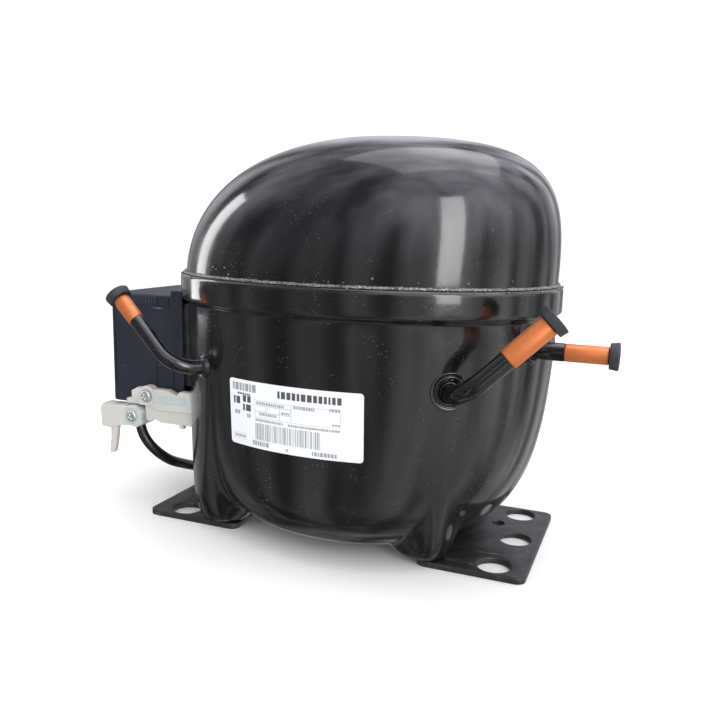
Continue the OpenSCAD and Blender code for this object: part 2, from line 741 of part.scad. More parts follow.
module head_gasket() {
    x = block_x[1] + 3.4;
    color("#33383a") difference() {
        head_sheet(x, 0.8);
        head_rooms(x - 1);
        at_head_bolts(x - 1) bar_x(screw_r + 0.2, 6);
    }
}
module head_rooms(x) {
    translate([x, -12, bore_z + 1]) cube([8, 24, 14]);
    translate([x, -12, bore_z - 13]) cube([8, 24, 11]);
}
module cylinder_head() {
    x = block_x[1] + 4.2;
    color("#77797b") difference() {
        head_sheet(x, 11.8);
        head_rooms(x - 1);
        at_head_bolts(x - 1) bar_x(screw_r + 0.2, 16);
    }
}
module head_bolts() {
    x = block_x[1] + 16;
    color("#9a9da0") {
        at_head_bolts(x - 28) bar_x(screw_r, 28);
        at_head_bolts(x) rotate([0, 90, 0]) cylinder(r = 4.4, h = 4, $fn = 6);
    }
}
module suction_muffler() {
    color("#d5d2c6") translate([48, 36, 138]) {
        linear_extrude(26) rounded_rect(34, 26, 6);
        translate([20, 0, 4]) linear_extrude(8) square([10, 8], center = true);
        translate([22.5, -4, 8]) rotate([90, 0, 0]) cylinder(r = 3, h = 11.8);
    }
}
module discharge_muffler() {
    color("#6c6e70") translate([-38, -34, deck_z[1] + 0.1]) {
        cylinder(r = 14.5, h = 20);
        translate([0, 0, 20]) cylinder(r1 = 14.5, r2 = 10, h = 4);
        translate([0, -14, 12]) rotate([90, 0, 0]) cylinder(r = 3, h = 2.6);
    }
}

// Crank assembly, turning in the crankcase
module crankshaft() {
    web_z = deck_z[1] + 0.5;
    color("#888b8e") difference() {
        union() {
            translate([0, 0, 24]) cylinder(r = shaft_r, h = web_z - 23);
            translate([0, 0, web_z]) cylinder(r = 9.5, h = 6.5);
            translate([throw, 0, web_z]) cylinder(r = 8.5, h = 6.5);
            translate([throw, 0, web_z + 6.4]) cylinder(r = pin_big, h = 18.6);
        }
        translate([throw / 2, 0, 20]) cylinder(r = 2.5, h = 116);
    }
}
module counterweight() {
    color("#75777a") translate([0, 0, deck_z[1] + 0.6]) linear_extrude(2.1) difference() {
        circle(22);
        circle(9.55);
        translate([-4, -30]) square(60);
    }
}
module rotor_core() {
    color("#5d6064") translate([0, 0, stator_z[0]]) difference() {
        cylinder(r = rotor_r, h = stator_z[1] - stator_z[0], $fn = 96);
        translate([0, 0, -1]) cylinder(r = shaft_r + 0.02, h = 60);
    }
}
module rotor_rings() {
    color("#b3b6b9") for (z = [stator_z[0] - 6, stator_z[1]]) translate([0, 0, z]) difference() {
        cylinder(r = 31, h = 6);
        translate([0, 0, -1]) cylinder(r = 22, h = 8);
    }
}
module oil_pickup() {
    color("#9a9da0") translate([0, 0, 9]) difference() {
        union() {
            cylinder(r1 = 3.5, r2 = shaft_r + 1, h = 12);
            translate([0, 0, 12]) cylinder(r = shaft_r + 1, h = 8);
        }
        translate([0, 0, -1]) cylinder(r = 2, h = 4);
        translate([0, 0, 2]) cylinder(r1 = 2.5, r2 = shaft_r - 0.2, h = 10);
        translate([0, 0, 11.9]) cylinder(r = shaft_r + 0.02, h = 9);
    }
}
module gallery_plug() {
    color("#b8925a") translate([throw / 2, 0, 118]) cylinder(r = 2.45, h = 12);
}
module slide_block() {
    color("#a8894f") translate([throw, 0, bore_z - 7.5]) difference() {
        translate([-10, -11, 0]) cube([20, 22, 15]);
        translate([0, 0, -1]) cylinder(r = pin_big + run_fit, h = 20);
    }
}
module piston_yoke() {
    x = throw;
    color("#8b8e91") difference() {
        union() {
            translate([x - yoke_half, -yoke_wide, bore_z - yoke_tall])
                cube([2 * yoke_half, 2 * yoke_wide, 2 * yoke_tall]);
            translate([x + yoke_half - 1, 0, bore_z]) bar_x(8, 9);
            translate([x + yoke_half + 6.6, 0, bore_z]) bar_x(piston_r, 26);
        }
        translate([x - slot_half, -slot_long, bore_z - yoke_tall - 1])
            cube([2 * slot_half, 2 * slot_long, 2 * yoke_tall + 2]);
    }
}

shell_lower();
shell_upper();
weld_bead();
base_plate_left();
base_plate_right();
rating_label();
suction_collar();
discharge_collar();
process_collar();
suction_tube();
discharge_tube();
process_tube();
suction_stub();
discharge_stub();
process_stub();
suction_plug();
discharge_plug();
process_plug();
terminal_cup();
terminal_glass();
terminal_pins();
terminal_fence();
spring_pins();
suspension_springs();
discharge_line();
inner_leads();
inner_connector();
relay_cover();
start_relay();
overload_protector();
clamp_base();
clamp_saddle();
clamp_screws();
lead_cable();
start_capacitor();
capacitor_clip();
crankcase();
stator_core();
stator_windings();
stator_screws();
spring_brackets();
spring_caps();
suction_reed();
valve_plate();
discharge_reed();
head_gasket();
cylinder_head();
head_bolts();
suction_muffler();
discharge_muffler();
crankshaft();
counterweight();
rotor_core();
rotor_rings();
oil_pickup();
gallery_plug();
slide_block();
piston_yoke();
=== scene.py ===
import math
import random

import bmesh
import bpy
import numpy as np
from mathutils import Matrix, Vector, noise


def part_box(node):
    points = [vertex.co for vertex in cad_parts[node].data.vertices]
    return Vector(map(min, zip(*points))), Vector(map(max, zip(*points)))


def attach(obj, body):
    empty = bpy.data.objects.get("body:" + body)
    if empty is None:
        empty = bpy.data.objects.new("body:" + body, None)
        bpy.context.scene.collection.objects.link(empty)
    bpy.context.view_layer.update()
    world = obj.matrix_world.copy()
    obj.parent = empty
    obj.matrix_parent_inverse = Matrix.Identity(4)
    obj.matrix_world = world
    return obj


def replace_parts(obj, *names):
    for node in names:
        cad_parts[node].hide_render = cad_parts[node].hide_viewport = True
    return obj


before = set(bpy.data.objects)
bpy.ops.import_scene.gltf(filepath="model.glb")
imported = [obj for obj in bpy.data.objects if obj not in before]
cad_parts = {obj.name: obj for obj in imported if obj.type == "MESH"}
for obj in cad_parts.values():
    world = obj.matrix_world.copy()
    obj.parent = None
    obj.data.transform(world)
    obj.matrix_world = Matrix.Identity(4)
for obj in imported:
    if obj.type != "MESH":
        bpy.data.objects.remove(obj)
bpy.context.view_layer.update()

# Lengths below are in metres. Angles of the camera and the tubes are in degrees.
MM = 0.001
scene = bpy.context.scene


# ---------------------------------------------------------------- camera
def unit(v):
    return Vector(v).normalized()


def make_camera():
    """Camera a little above the rim, looking down at the label side, with the tubes to the right."""
    place, yaw, pitch, roll = Vector((0.1473, -0.3711, 0.1591)), 21.54, 10.10, 1.48
    yaw, pitch, roll = map(math.radians, (yaw, pitch, roll))
    ahead = Vector((-math.sin(yaw) * math.cos(pitch), math.cos(yaw) * math.cos(pitch), -math.sin(pitch)))
    right = Vector((math.cos(yaw), math.sin(yaw), 0))
    turn = Matrix.Rotation(-roll, 3, ahead)
    right, up = turn @ right, turn @ right.cross(ahead)
    camera = bpy.data.objects.new("camera", bpy.data.cameras.new("camera"))
    scene.collection.objects.link(camera)
    camera.matrix_world = Matrix.Translation(place) @ Matrix((right, up, -ahead)).transposed().to_4x4()
    camera.data.sensor_width = 36
    camera.data.lens = 38
    scene.camera = camera


make_camera()


# ---------------------------------------------------------------- mesh helpers
def add_mesh(name, points, faces, material, body, slot, sharp):
    """A new piece riding on a body, smooth but for edges sharper than an angle in degrees."""
    mesh = bpy.data.meshes.new(name)
    mesh.from_pydata([tuple(p) for p in points], [], faces)
    piece = bpy.data.objects.new(name, mesh)
    scene.collection.objects.link(piece)
    finish_mesh(piece, material, body, slot, sharp)
    return piece


def finish_mesh(piece, material, body, slot, sharp):
    b = bmesh.new()
    b.from_mesh(piece.data)
    bmesh.ops.remove_doubles(b, verts=b.verts, dist=1e-7)
    bmesh.ops.recalc_face_normals(b, faces=b.faces)
    for f in b.faces:
        f.smooth = True
    for e in b.edges:
        e.smooth = len(e.link_faces) != 2 or e.calc_face_angle(0) < math.radians(sharp)
    b.to_mesh(piece.data)
    b.free()
    piece.data.materials.clear()
    piece.data.materials.append(material)
    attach(piece, body)


def stand_in(node, name, part, *looks):
    """A new piece from a (points, faces) part that replaces a CAD node."""
    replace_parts(add_mesh(name, *part, *looks), node)


def join(name, parts, material, body, slot, sharp):
    """One piece from several (points, faces) parts."""
    points, faces = [], []
    for p, f in parts:
        base = len(points)
        points += [tuple(v) for v in p]
        faces += [[base + i for i in face] for face in f]
    return add_mesh(name, points, faces, material, body, slot, sharp)


def skin(rings, ends="cap", loop=False):
    """Faces through rings that share one point count.

    ends is cap or open, and loop joins the last ring to the first.
    """
    count = len(rings[0])
    points = [p for ring in rings for p in ring]
    faces = []
    for k in range(len(rings) if loop else len(rings) - 1):
        low, high = k * count, (k + 1) % len(rings) * count
        faces += [[low + i, low + (i + 1) % count, high + (i + 1) % count, high + i] for i in range(count)]
    if ends == "cap" and not loop:
        faces.append(list(range(count - 1, -1, -1)))
        faces.append([(len(rings) - 1) * count + i for i in range(count)])
    return points, faces


def axes_for(direction):
    """Two directions square to the first."""
    w = unit(direction)
    u = unit(w.cross(Vector((0, 0, 1)) if abs(w.z) < 0.9 else Vector((1, 0, 0))))
    return u, w.cross(u), w


def circle(centre, u, v, r, sides):
    return [centre + r * (math.cos(2 * math.pi * i / sides) * u + math.sin(2 * math.pi * i / sides) * v)
            for i in range(sides)]


def lathe(base, direction, profile, sides=64, ends="cap"):
    """Turned part: profile is (radius, height) pairs up the direction from base."""
    u, v, w = axes_for(direction)
    return skin([circle(Vector(base) + w * h, u, v, max(r, 1e-6), sides) for r, h in profile], ends)


def arc(centre_r, centre_h, r, start, end, steps=6):
    """Points of an arc for a lathe profile, angles in degrees."""
    angles = [math.radians(start + (end - start) * i / steps) for i in range(steps + 1)]
    return [(centre_r + r * math.cos(a), centre_h + r * math.sin(a)) for a in angles]


def sweep(path, r, sides):
    """Tube rings along a path, carried without twist."""
    path = [Vector(p) for p in path]
    rings = []
    u = None
    for i, p in enumerate(path):
        ahead = unit(path[min(i + 1, len(path) - 1)] - path[max(i - 1, 0)])
        if u is None:
            u, v, w = axes_for(ahead)
        else:
            u = unit(u - ahead * u.dot(ahead))
            v = ahead.cross(u)
        rings.append(circle(p, u, v, r, sides))
    return rings


def box_part(low, high, bevel, segments=3):
    """A block with rounded edges, as (points, faces)."""
    b = bmesh.new()
    bmesh.ops.create_cube(b, size=1)
    low, high = Vector(low), Vector(high)
    for v in b.verts:
        v.co = Vector([(low[k] + high[k]) / 2 + v.co[k] * (high[k] - low[k]) for k in range(3)])
    bmesh.ops.bevel(b, geom=b.edges[:], offset=bevel, segments=segments, affect="EDGES", profile=0.5)
    return take(b)


def take(b):
    b.verts.index_update()
    part = [v.co.copy() for v in b.verts], [[v.index for v in f.verts] for f in b.faces]
    b.free()
    return part


def plate_part(outline, low, high, bevel, to_world, segments=3):
    """A flat outline pulled from low to high, edges rounded. to_world(x, y, z) places a point."""
    b = bmesh.new()
    bottom = [b.verts.new((x, y, low)) for x, y in outline]
    top = [b.verts.new((x, y, high)) for x, y in outline]
    count = len(outline)
    b.faces.new(bottom[::-1])
    b.faces.new(top)
    for i in range(count):
        b.faces.new([bottom[i], bottom[(i + 1) % count], top[(i + 1) % count], top[i]])
    bmesh.ops.recalc_face_normals(b, faces=b.faces)
    flat = [e for e in b.edges if abs(e.verts[0].co.z - e.verts[1].co.z) < 1e-9]
    if bevel:
        bmesh.ops.bevel(b, geom=flat, offset=bevel, segments=segments, affect="EDGES", profile=0.5)
    for v in b.verts:
        v.co = Vector(to_world(*v.co))
    return take(b)


def rounded(corners, radius, steps=5):
    """Outline of a polygon with rounded corners. A corner's third number is its own radius."""
    out = []
    count = len(corners)
    for i in range(count):
        p, a, c = (Vector(corners[k % count][:2]) for k in (i, i - 1, i + 1))
        r = corners[i][2] if len(corners[i]) > 2 else radius
        u, v = (a - p).normalized(), (c - p).normalized()
        half = math.acos(max(-1, min(1, u.dot(v)))) / 2
        reach = min(r / math.tan(half), 0.49 * (a - p).length, 0.49 * (c - p).length)
        r = reach * math.tan(half)
        if r < 1e-6:
            out.append((p.x, p.y))
            continue
        centre = p + (u + v).normalized() * r / math.sin(half)
        start, end = p + u * reach - centre, p + v * reach - centre
        turn = math.atan2(start.x * end.y - start.y * end.x, start.dot(end))
        for k in range(steps + 1):
            a0 = turn * k / steps
            q = Vector((start.x * math.cos(a0) - start.y * math.sin(a0),
                        start.x * math.sin(a0) + start.y * math.cos(a0)))
            out.append((centre.x + q.x, centre.y + q.y))
    return out


# ---------------------------------------------------------------- materials
class Graph:
    """Short ways to add nodes to a tree, in one kind of texture coordinates."""

    def __init__(self, tree, coords):
        self.tree = tree
        self.coords = tree.nodes.new("ShaderNodeTexCoord").outputs[coords]

    def node(self, kind, **inputs):
        made = self.tree.nodes.new(kind)
        for key, value in inputs.items():
            socket = made.inputs[key.title()]
            if hasattr(value, "is_output"):
                self.tree.links.new(value, socket)
            else:
                socket.default_value = value
        return made

    def stretched(self, stretch):
        mapping = self.node("ShaderNodeMapping", vector=self.coords, scale=stretch)
        return mapping.outputs[0]

    def noise(self, scale, detail=3.0, rough=0.6, stretch=None):
        made = self.node("ShaderNodeTexNoise", scale=scale, detail=detail, roughness=rough)
        self.tree.links.new(self.stretched(stretch) if stretch else self.coords, made.inputs["Vector"])
        return made.outputs["Fac"]

    def cells(self, scale):
        return self.node("ShaderNodeTexVoronoi", scale=scale, vector=self.coords).outputs["Distance"]

    def bands(self, scale, axis="Z", distortion=0.0, kind="BANDS"):
        made = self.node("ShaderNodeTexWave", scale=scale, distortion=distortion, vector=self.coords)
        made.wave_type = kind
        if kind == "BANDS":
            made.bands_direction = axis
        else:
            made.rings_direction = axis
        return made.outputs["Fac"]

    def level(self, value, low, high, to_low=0.0, to_high=1.0):
        """value from low..high spread over to_low..to_high, clamped."""
        made = self.tree.nodes.new("ShaderNodeMapRange")
        self.tree.links.new(value, made.inputs[0])
        for k, v in enumerate((low, high, to_low, to_high)):
            made.inputs[k + 1].default_value = v
        return made.outputs[0]

    def times(self, a, b):
        made = self.tree.nodes.new("ShaderNodeMath")
        made.operation = "MULTIPLY"
        for k, value in enumerate((a, b)):
            if hasattr(value, "is_output"):
                self.tree.links.new(value, made.inputs[k])
            else:
                made.inputs[k].default_value = value
        return made.outputs[0]


class Surface(Graph):
    """A principled material whose colour, roughness and relief vary by nodes in object space."""

    def __init__(self, name, colour, rough, metallic=0.0, **fixed):
        self.material = bpy.data.materials.new(name)
        self.material.use_nodes = True
        super().__init__(self.material.node_tree, "Object")
        self.sockets = self.tree.nodes["Principled BSDF"].inputs
        fixed.update(base_color=(*colour, 1), roughness=rough, metallic=metallic)
        for key, value in fixed.items():
            self.sockets[key.replace("_", " ").title()].default_value = value

    def lay_over(self, socket, kind, first, result, mask, value):
        """Mixes a value over what a socket has, where mask is 1.

        first and result number the mix node's first input and its output for this kind.
        """
        mix = self.tree.nodes.new("ShaderNodeMix")
        mix.data_type = kind
        self.tree.links.new(mask, mix.inputs[0])
        if socket.is_linked:
            self.tree.links.new(socket.links[0].from_socket, mix.inputs[first])
        else:
            mix.inputs[first].default_value = socket.default_value
        mix.inputs[first + 1].default_value = value
        self.tree.links.new(mix.outputs[result], socket)

    def tint(self, mask, colour):
        self.lay_over(self.sockets["Base Color"], "RGBA", 6, 2, mask, (*colour, 1))

    def gloss(self, mask, rough):
        self.lay_over(self.sockets["Roughness"], "FLOAT", 2, 0, mask, rough)

    def mottle(self, noise, span, colour):
        """Tints where a noise passes through a span. Two more numbers in it are the mask's ends."""
        self.tint(self.level(self.noise(*noise), *span), colour)

    def patches(self, noise, span, rough):
        """Changes the roughness where a noise passes through a span."""
        self.gloss(self.level(self.noise(*noise), *span), rough)

    def relief(self, height, depth, strength):
        """Bumps: height 0..1 stands for a depth in metres."""
        made = self.tree.nodes.new("ShaderNodeBump")
        made.inputs["Distance"].default_value = depth
        made.inputs["Strength"].default_value = strength
        self.tree.links.new(height, made.inputs["Height"])
        socket = self.sockets["Normal"]
        if socket.is_linked:
            self.tree.links.new(socket.links[0].from_socket, made.inputs["Normal"])
        self.tree.links.new(made.outputs[0], socket)


def paint(name, colour, rough, dust=0.5, peel=1.0):
    """Baked gloss enamel: a little orange peel, dust specks and dull patches."""
    s = Surface(name, colour, rough, coat_weight=0.5, coat_roughness=0.06)
    s.relief(s.noise(420, 2), 0.00003 * peel, 0.5)
    s.relief(s.noise(55, 2), 0.0004 * peel, 0.22)
    s.patches((26, 4), (0.45, 0.75), rough + 0.16)
    speck = s.times(s.level(s.cells(650), 0.16, 0.05), s.level(s.noise(70, 2), 0.50, 0.66))
    s.tint(s.times(speck, dust), (0.42, 0.42, 0.40))
    s.mottle((9, 5, 0.7), (0.52, 0.9, 0, 0.25 * dust), (0.055, 0.052, 0.047))
    s.gloss(speck, 0.8)
    return s


shell_paint = paint("shell_paint", (0.0045, 0.0046, 0.0052), 0.13).material
tube_paint = paint("tube_paint", (0.004, 0.004, 0.0045), 0.10, 0.3, 0.6).material


def weld_surface():
    s = Surface("weld_scale", (0.035, 0.034, 0.034), 0.42, 0.3)
    s.mottle((60, 3), (0.40, 0.62, 0.1, 0.6), (0.20, 0.20, 0.195))
    s.mottle((1500, 4, 0.7), (0.52, 0.60), (0.55, 0.54, 0.52))
    s.mottle((230, 3), (0.60, 0.74), (0.02, 0.02, 0.02))
    s.mottle((60, 3), (0.60, 0.80, 0, 0.5), (0.16, 0.12, 0.08))
    s.relief(s.noise(1100, 4), 0.0003, 0.8)
    s.patches((300, 3), (0.4, 0.6), 0.38)
    return s.material


def plate_surface():
    s = Surface("plate_paint", (0.016, 0.0165, 0.018), 0.5, coat_weight=0.15, coat_roughness=0.3)
    s.mottle((150, 5, 0.7), (0.45, 0.75, 0, 0.7), (0.045, 0.046, 0.048))
    s.mottle((26, 4), (0.52, 0.72, 0, 0.6), (0.008, 0.0085, 0.011))
    streak = s.level(s.noise(40, 4, 0.6, (1, 7, 1)), 0.60, 0.70)
    scuff = s.times(streak, s.level(s.noise(420, 3), 0.42, 0.6))
    s.tint(scuff, (0.14, 0.14, 0.135))
    s.patches((90, 3), (0.4, 0.7), 0.36)
    s.relief(s.noise(700, 3), 0.00012, 0.6)
    s.relief(s.noise(90, 3), 0.0005, 0.25)
    return s.material


def copper_surface():
    s = Surface("copper", (0.66, 0.195, 0.062), 0.36, 0.55)
    s.mottle((90, 4, 0.6), (0.40, 0.80, 0, 0.6), (0.52, 0.135, 0.042))
    s.mottle((420, 3, 0.6, (1, 1, 0.25)), (0.60, 0.80, 0, 0.35), (0.36, 0.10, 0.03))
    s.patches((80, 4), (0.4, 0.7), 0.46)
    s.relief(s.noise(900, 3), 0.00004, 0.5)
    return s.material


def rubber_surface():
    s = Surface("rubber", (0.022, 0.025, 0.030), 0.62)
    s.mottle((300, 4), (0.45, 0.75, 0, 0.6), (0.045, 0.049, 0.056))
    s.patches((100, 3), (0.4, 0.7), 0.5)
    s.relief(s.noise(1500, 2), 0.00008, 0.7)
    return s.material


def moulded(name, colour, pale, rough, scratch=0.5):
    """Moulded plastic: fine texture, a few scuffs, slightly uneven colour."""
    s = Surface(name, colour, rough)
    s.mottle((30, 4), (0.45, 0.8, 0, 0.5), pale)
    streak = s.level(s.noise(30, 3, 0.6, (1, 1, 9)), 0.62, 0.68)
    scuff = s.times(streak, s.level(s.noise(260, 3), 0.45, 0.6))
    s.tint(s.times(scuff, scratch), tuple(min(1, c * 4 + 0.02) for c in pale))
    s.patches((60, 3), (0.4, 0.7), rough + 0.12)
    s.relief(s.noise(1200, 2), 0.00005, 0.6)
    return s.material


def nylon_surface():
    s = Surface("nylon", (0.54, 0.535, 0.515), 0.36, subsurface_weight=0.25, subsurface_scale=0.004)
    s.mottle((45, 4), (0.45, 0.8, 0, 0.5), (0.47, 0.455, 0.42))
    s.mottle((420, 3), (0.63, 0.75, 0, 0.5), (0.36, 0.33, 0.28))
    s.patches((80, 3), (0.4, 0.7), 0.48)
    s.relief(s.noise(500, 3), 0.00006, 0.5)
    return s.material


def metal(name, colour, dark, rough, grain=400):
    """Bare or plated metal with a fine uneven grain."""
    s = Surface(name, colour, rough, 0.95)
    s.mottle((grain, 4), (0.45, 0.75, 0, 0.7), dark)
    s.patches((grain / 3, 3), (0.4, 0.7), rough + 0.15)
    s.relief(s.noise(grain * 2, 3), 0.00004, 0.6)
    return s.material


def cast_iron():
    s = Surface("cast_iron", (0.16, 0.16, 0.165), 0.62, 0.6)
    s.mottle((180, 5, 0.7), (0.45, 0.7), (0.09, 0.09, 0.095))
    s.relief(s.noise(650, 3), 0.0004, 0.8)
    return s.material


def lamination():
    s = Surface("lamination", (0.20, 0.21, 0.22), 0.45, 0.8)
    s.tint(s.bands(320), (0.05, 0.05, 0.055))
    s.relief(s.bands(320), 0.0001, 0.8)
    return s.material


def winding():
    s = Surface("winding", (0.55, 0.20, 0.07), 0.32, 0.6)
    s.tint(s.bands(260, "Z", 0.6, "RINGS"), (0.30, 0.09, 0.03))
    s.mottle((120, 3), (0.5, 0.75, 0, 0.6), (0.62, 0.35, 0.16))
    s.relief(s.bands(260, "Z", 0.6, "RINGS"), 0.0006, 0.8)
    return s.material


def fibre():
    s = Surface("fibre_gasket", (0.04, 0.05, 0.052), 0.8)
    s.mottle((800, 4, 0.7), (0.45, 0.7), (0.10, 0.11, 0.11))
    s.relief(s.noise(900, 3), 0.0002, 0.7)
    return s.material


def cord_jacket():
    s = Surface("cord_jacket", (0.006, 0.0062, 0.007), 0.30, coat_weight=0.1, coat_roughness=0.2)
    s.mottle((220, 4), (0.45, 0.75, 0, 0.7), (0.012, 0.0125, 0.014))
    s.patches((90, 3), (0.42, 0.68), 0.42)
    s.relief(s.noise(600, 2), 0.00006, 0.6)
    return s.material


def paper():
    s = Surface("label_film", (0.75, 0.775, 0.80), 0.30, coat_weight=0.3, coat_roughness=0.15)
    s.mottle((35, 3), (0.45, 0.8, 0, 0.35), (0.68, 0.71, 0.75))
    s.patches((60, 3), (0.4, 0.7), 0.42)
    s.relief(s.noise(300, 2), 0.00004, 0.4)
    return s.material


def ink(name, colour):
    s = Surface(name, colour, 0.5)
    s.mottle((2500, 2), (0.5, 0.8, 0, 0.5), tuple(min(1, c + 0.15) for c in colour))
    return s.material


weld_scale = weld_surface()
plate_paint = plate_surface()
copper = copper_surface()
rubber = rubber_surface()
nylon = nylon_surface()
navy_plastic = moulded("navy_plastic", (0.013, 0.017, 0.030), (0.028, 0.034, 0.050), 0.42, scratch=0.9)
dark_plastic = moulded("dark_plastic", (0.012, 0.012, 0.013), (0.03, 0.03, 0.032), 0.4)
cream_plastic = moulded("cream_plastic", (0.62, 0.58, 0.48), (0.70, 0.67, 0.58), 0.45, scratch=0.1)
zinc = metal("zinc_plate", (0.86, 0.88, 0.90), (0.62, 0.66, 0.70), 0.34)
steel = metal("steel", (0.50, 0.51, 0.53), (0.30, 0.31, 0.33), 0.32)
spring_steel = metal("spring_steel", (0.42, 0.43, 0.46), (0.24, 0.25, 0.28), 0.3)
bronze = metal("bronze", (0.60, 0.42, 0.20), (0.42, 0.27, 0.12), 0.36)
aluminium = metal("aluminium", (0.72, 0.73, 0.75), (0.50, 0.51, 0.53), 0.4)
fence_metal = metal("fence_metal", (0.66, 0.67, 0.69), (0.46, 0.47, 0.49), 0.36)
glass = moulded("bead_glass", (0.08, 0.20, 0.17), (0.12, 0.28, 0.24), 0.12, scratch=0)
jacket = cord_jacket()
label_film = paper()
black_ink = ink("black_ink", (0.07, 0.07, 0.08))
grey_ink = ink("grey_ink", (0.28, 0.29, 0.32))


# ---------------------------------------------------------------- lead from the cord clamp
def curve_at(p0, p1, p2, p3, t):
    return (2 * p1 + (p2 - p0) * t + (2 * p0 - 5 * p1 + 4 * p2 - p3) * t * t
            + (3 * p1 - p0 - 3 * p2 + p3) * t ** 3) / 2


def smooth_route(points, steps):
    p = [Vector(q) for q in points]
    last = len(p) - 1
    line = [curve_at(p[max(i - 1, 0)], p[i], p[i + 1], p[min(i + 2, last)], k / steps)
            for i in range(last) for k in range(steps)]
    return line + [p[last]]


LEAD_R = 0.0028
LEAD_ROUTE = [(-0.118, -0.0313, 0.050), (-0.1177, -0.0316, 0.044), (-0.114, -0.032, 0.0375),
              (-0.110, -0.0285, 0.0305), (-0.107, -0.0205, 0.0235), (-0.106, -0.009, 0.018),
              (-0.106, 0.005, 0.0125), (-0.106, 0.018, 0.010), (-0.107, 0.031, 0.0125),
              (-0.109, 0.042, 0.020), (-0.111, 0.0485, 0.030), (-0.1125, 0.0515, 0.042),
              (-0.113, 0.052, 0.0495)]


def make_lead():
    line = smooth_route(LEAD_ROUTE, 8)
    lead = add_mesh("lead", *skin(sweep(line, LEAD_R, 32)), jacket, "electrics", "cord_jacket", 35)
    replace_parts(lead, "lead_cable")


make_lead()


# ---------------------------------------------------------------- shell, drawn finer
SHELL_LOW, SHELL_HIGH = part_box("shell_lower")
DOME_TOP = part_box("shell_upper")[1].z
RIM_A, RIM_B = (SHELL_HIGH.x - SHELL_LOW.x) / 2, (SHELL_HIGH.y - SHELL_LOW.y) / 2
SHELL_X, SHELL_Y = (SHELL_HIGH.x + SHELL_LOW.x) / 2, (SHELL_HIGH.y + SHELL_LOW.y) / 2
RIM_TOP, PAN_LOW = SHELL_HIGH.z, SHELL_LOW.z
SHELL_T, SKIRT, STEP_IN = 0.0026, 0.0001, 0.0032
WALL_TAPER = 0.58
PAN_ROUND_X, PAN_POWER_X = 0.1132, 3.64
PAN_ROUND_Y, PAN_POWER_Y = 0.0358, 2.93
DOME_FOOT, DOME_SWELL, SWELL_FROM = 0.1243, 0.29, 0.131
DOME_POWER_RIGHT, DOME_POWER_LEFT = 3.92, 2.17
STEP_TOP, STEP_LOW, RIM_ROLL = 0.1205, 0.117, 0.0024
PLATE_T = 0.003
OVAL_N = 2.02
AROUND = 360
TURNS = np.arange(AROUND) * 2 * math.pi / AROUND


def power(v, p):
    return np.sign(v) * np.abs(v) ** p


def closing(u, m):
    return np.maximum(0, 1 - np.clip(u, 0, 1) ** m) ** (1 / m)


def oval(a, b):
    return a * power(np.cos(TURNS), 2 / OVAL_N), b * power(np.sin(TURNS), 2 / OVAL_N)


def ring(a, b, z):
    x, y = oval(a, b)
    return np.stack([x + SHELL_X, y + SHELL_Y, np.full(AROUND, z)], 1)


LEG_LEFT, LEG_RIGHT, LEG_Y = -0.0615, 0.052, 0.037
LEG_FLAT, LEG_RISE, LEG_POWER, LEG_BLEND = 0.008, 0.23, 2.2, 0.010
LEG_INNER = 0.75
END_BOW, BOW_TOP, BOW_FADE = 0.0019, 0.116, 0.012
LEG_FADE = 0.090, 0.116


def leg_height(x, y, inset):
    dx = np.where(x > 0, x - LEG_RIGHT, LEG_LEFT - x)
    dy = np.abs(y) - LEG_Y
    dx, dy = (np.where(d < 0, d * LEG_INNER, d) for d in (dx, dy))
    reach = np.maximum(0, np.hypot(dx, dy) + inset - LEG_FLAT) / MM
    return PLATE_T + inset + MM * LEG_RISE * reach ** LEG_POWER


def with_leg(p, inset):
    """Pulls the wall down to the drawn legs, ever less towards the rim."""
    x, y, z = p[:, 0], p[:, 1], p[:, 2]
    leg = leg_height(x, y, inset)
    h = np.maximum(LEG_BLEND - np.abs(z - leg), 0) / LEG_BLEND
    low = np.minimum(z, leg) - h * h * LEG_BLEND / 4
    low = np.maximum(low, np.minimum(z, PLATE_T + inset))
    fade = np.clip((LEG_FADE[1] - z) / (LEG_FADE[1] - LEG_FADE[0]), 0, 1)
    p[:, 2] = z + (low - z) * fade * fade * (3 - 2 * fade)
    return p


def with_bow(p):
    """The +X end bows out a little below the rim."""
    s = np.maximum(0, (p[:, 0] - SHELL_X) / RIM_A)
    fade = np.clip((BOW_TOP - p[:, 2]) / BOW_FADE, 0, 1)
    p[:, 0] += END_BOW * s * s * fade * fade * (3 - 2 * fade)
    return p


def pan_half(full, z, round_z, m, inset):
    low = PAN_LOW + inset
    taper = (full - STEP_IN - inset) * (1 - WALL_TAPER * (STEP_LOW - z))
    return taper * closing((round_z - z) / (round_z - low), m)


def pan_halves(z, inset):
    return (pan_half(RIM_A, z, PAN_ROUND_X, PAN_POWER_X, inset),
            pan_half(RIM_B, z, PAN_ROUND_Y, PAN_POWER_Y, inset))


def pan_ring(z, inset):
    a, b = pan_halves(z, inset)
    return with_leg(with_bow(ring(a, b, z)), inset)


def pan_rings(inset, count):
    low = PAN_LOW + inset
    return [pan_ring(low + (STEP_LOW - low) * (i / count) ** 2.2, inset) for i in range(1, count + 1)]


def dome_ring(z, inset):
    u = (z - DOME_FOOT) / (DOME_TOP - inset - DOME_FOOT)
    a, b = (half - SHELL_T - SKIRT - inset for half in (RIM_A, RIM_B))
    swell = 1 + DOME_SWELL * max(0, z - SWELL_FROM)
    x, y = oval(a, b)
    s = (x / a + 1) / 2
    w = s * s * (3 - 2 * s)
    k = swell * (closing(u, DOME_POWER_RIGHT) * w + closing(u, DOME_POWER_LEFT) * (1 - w))
    return np.stack([x * k + SHELL_X, y * k + SHELL_Y, np.full(AROUND, z)], 1)


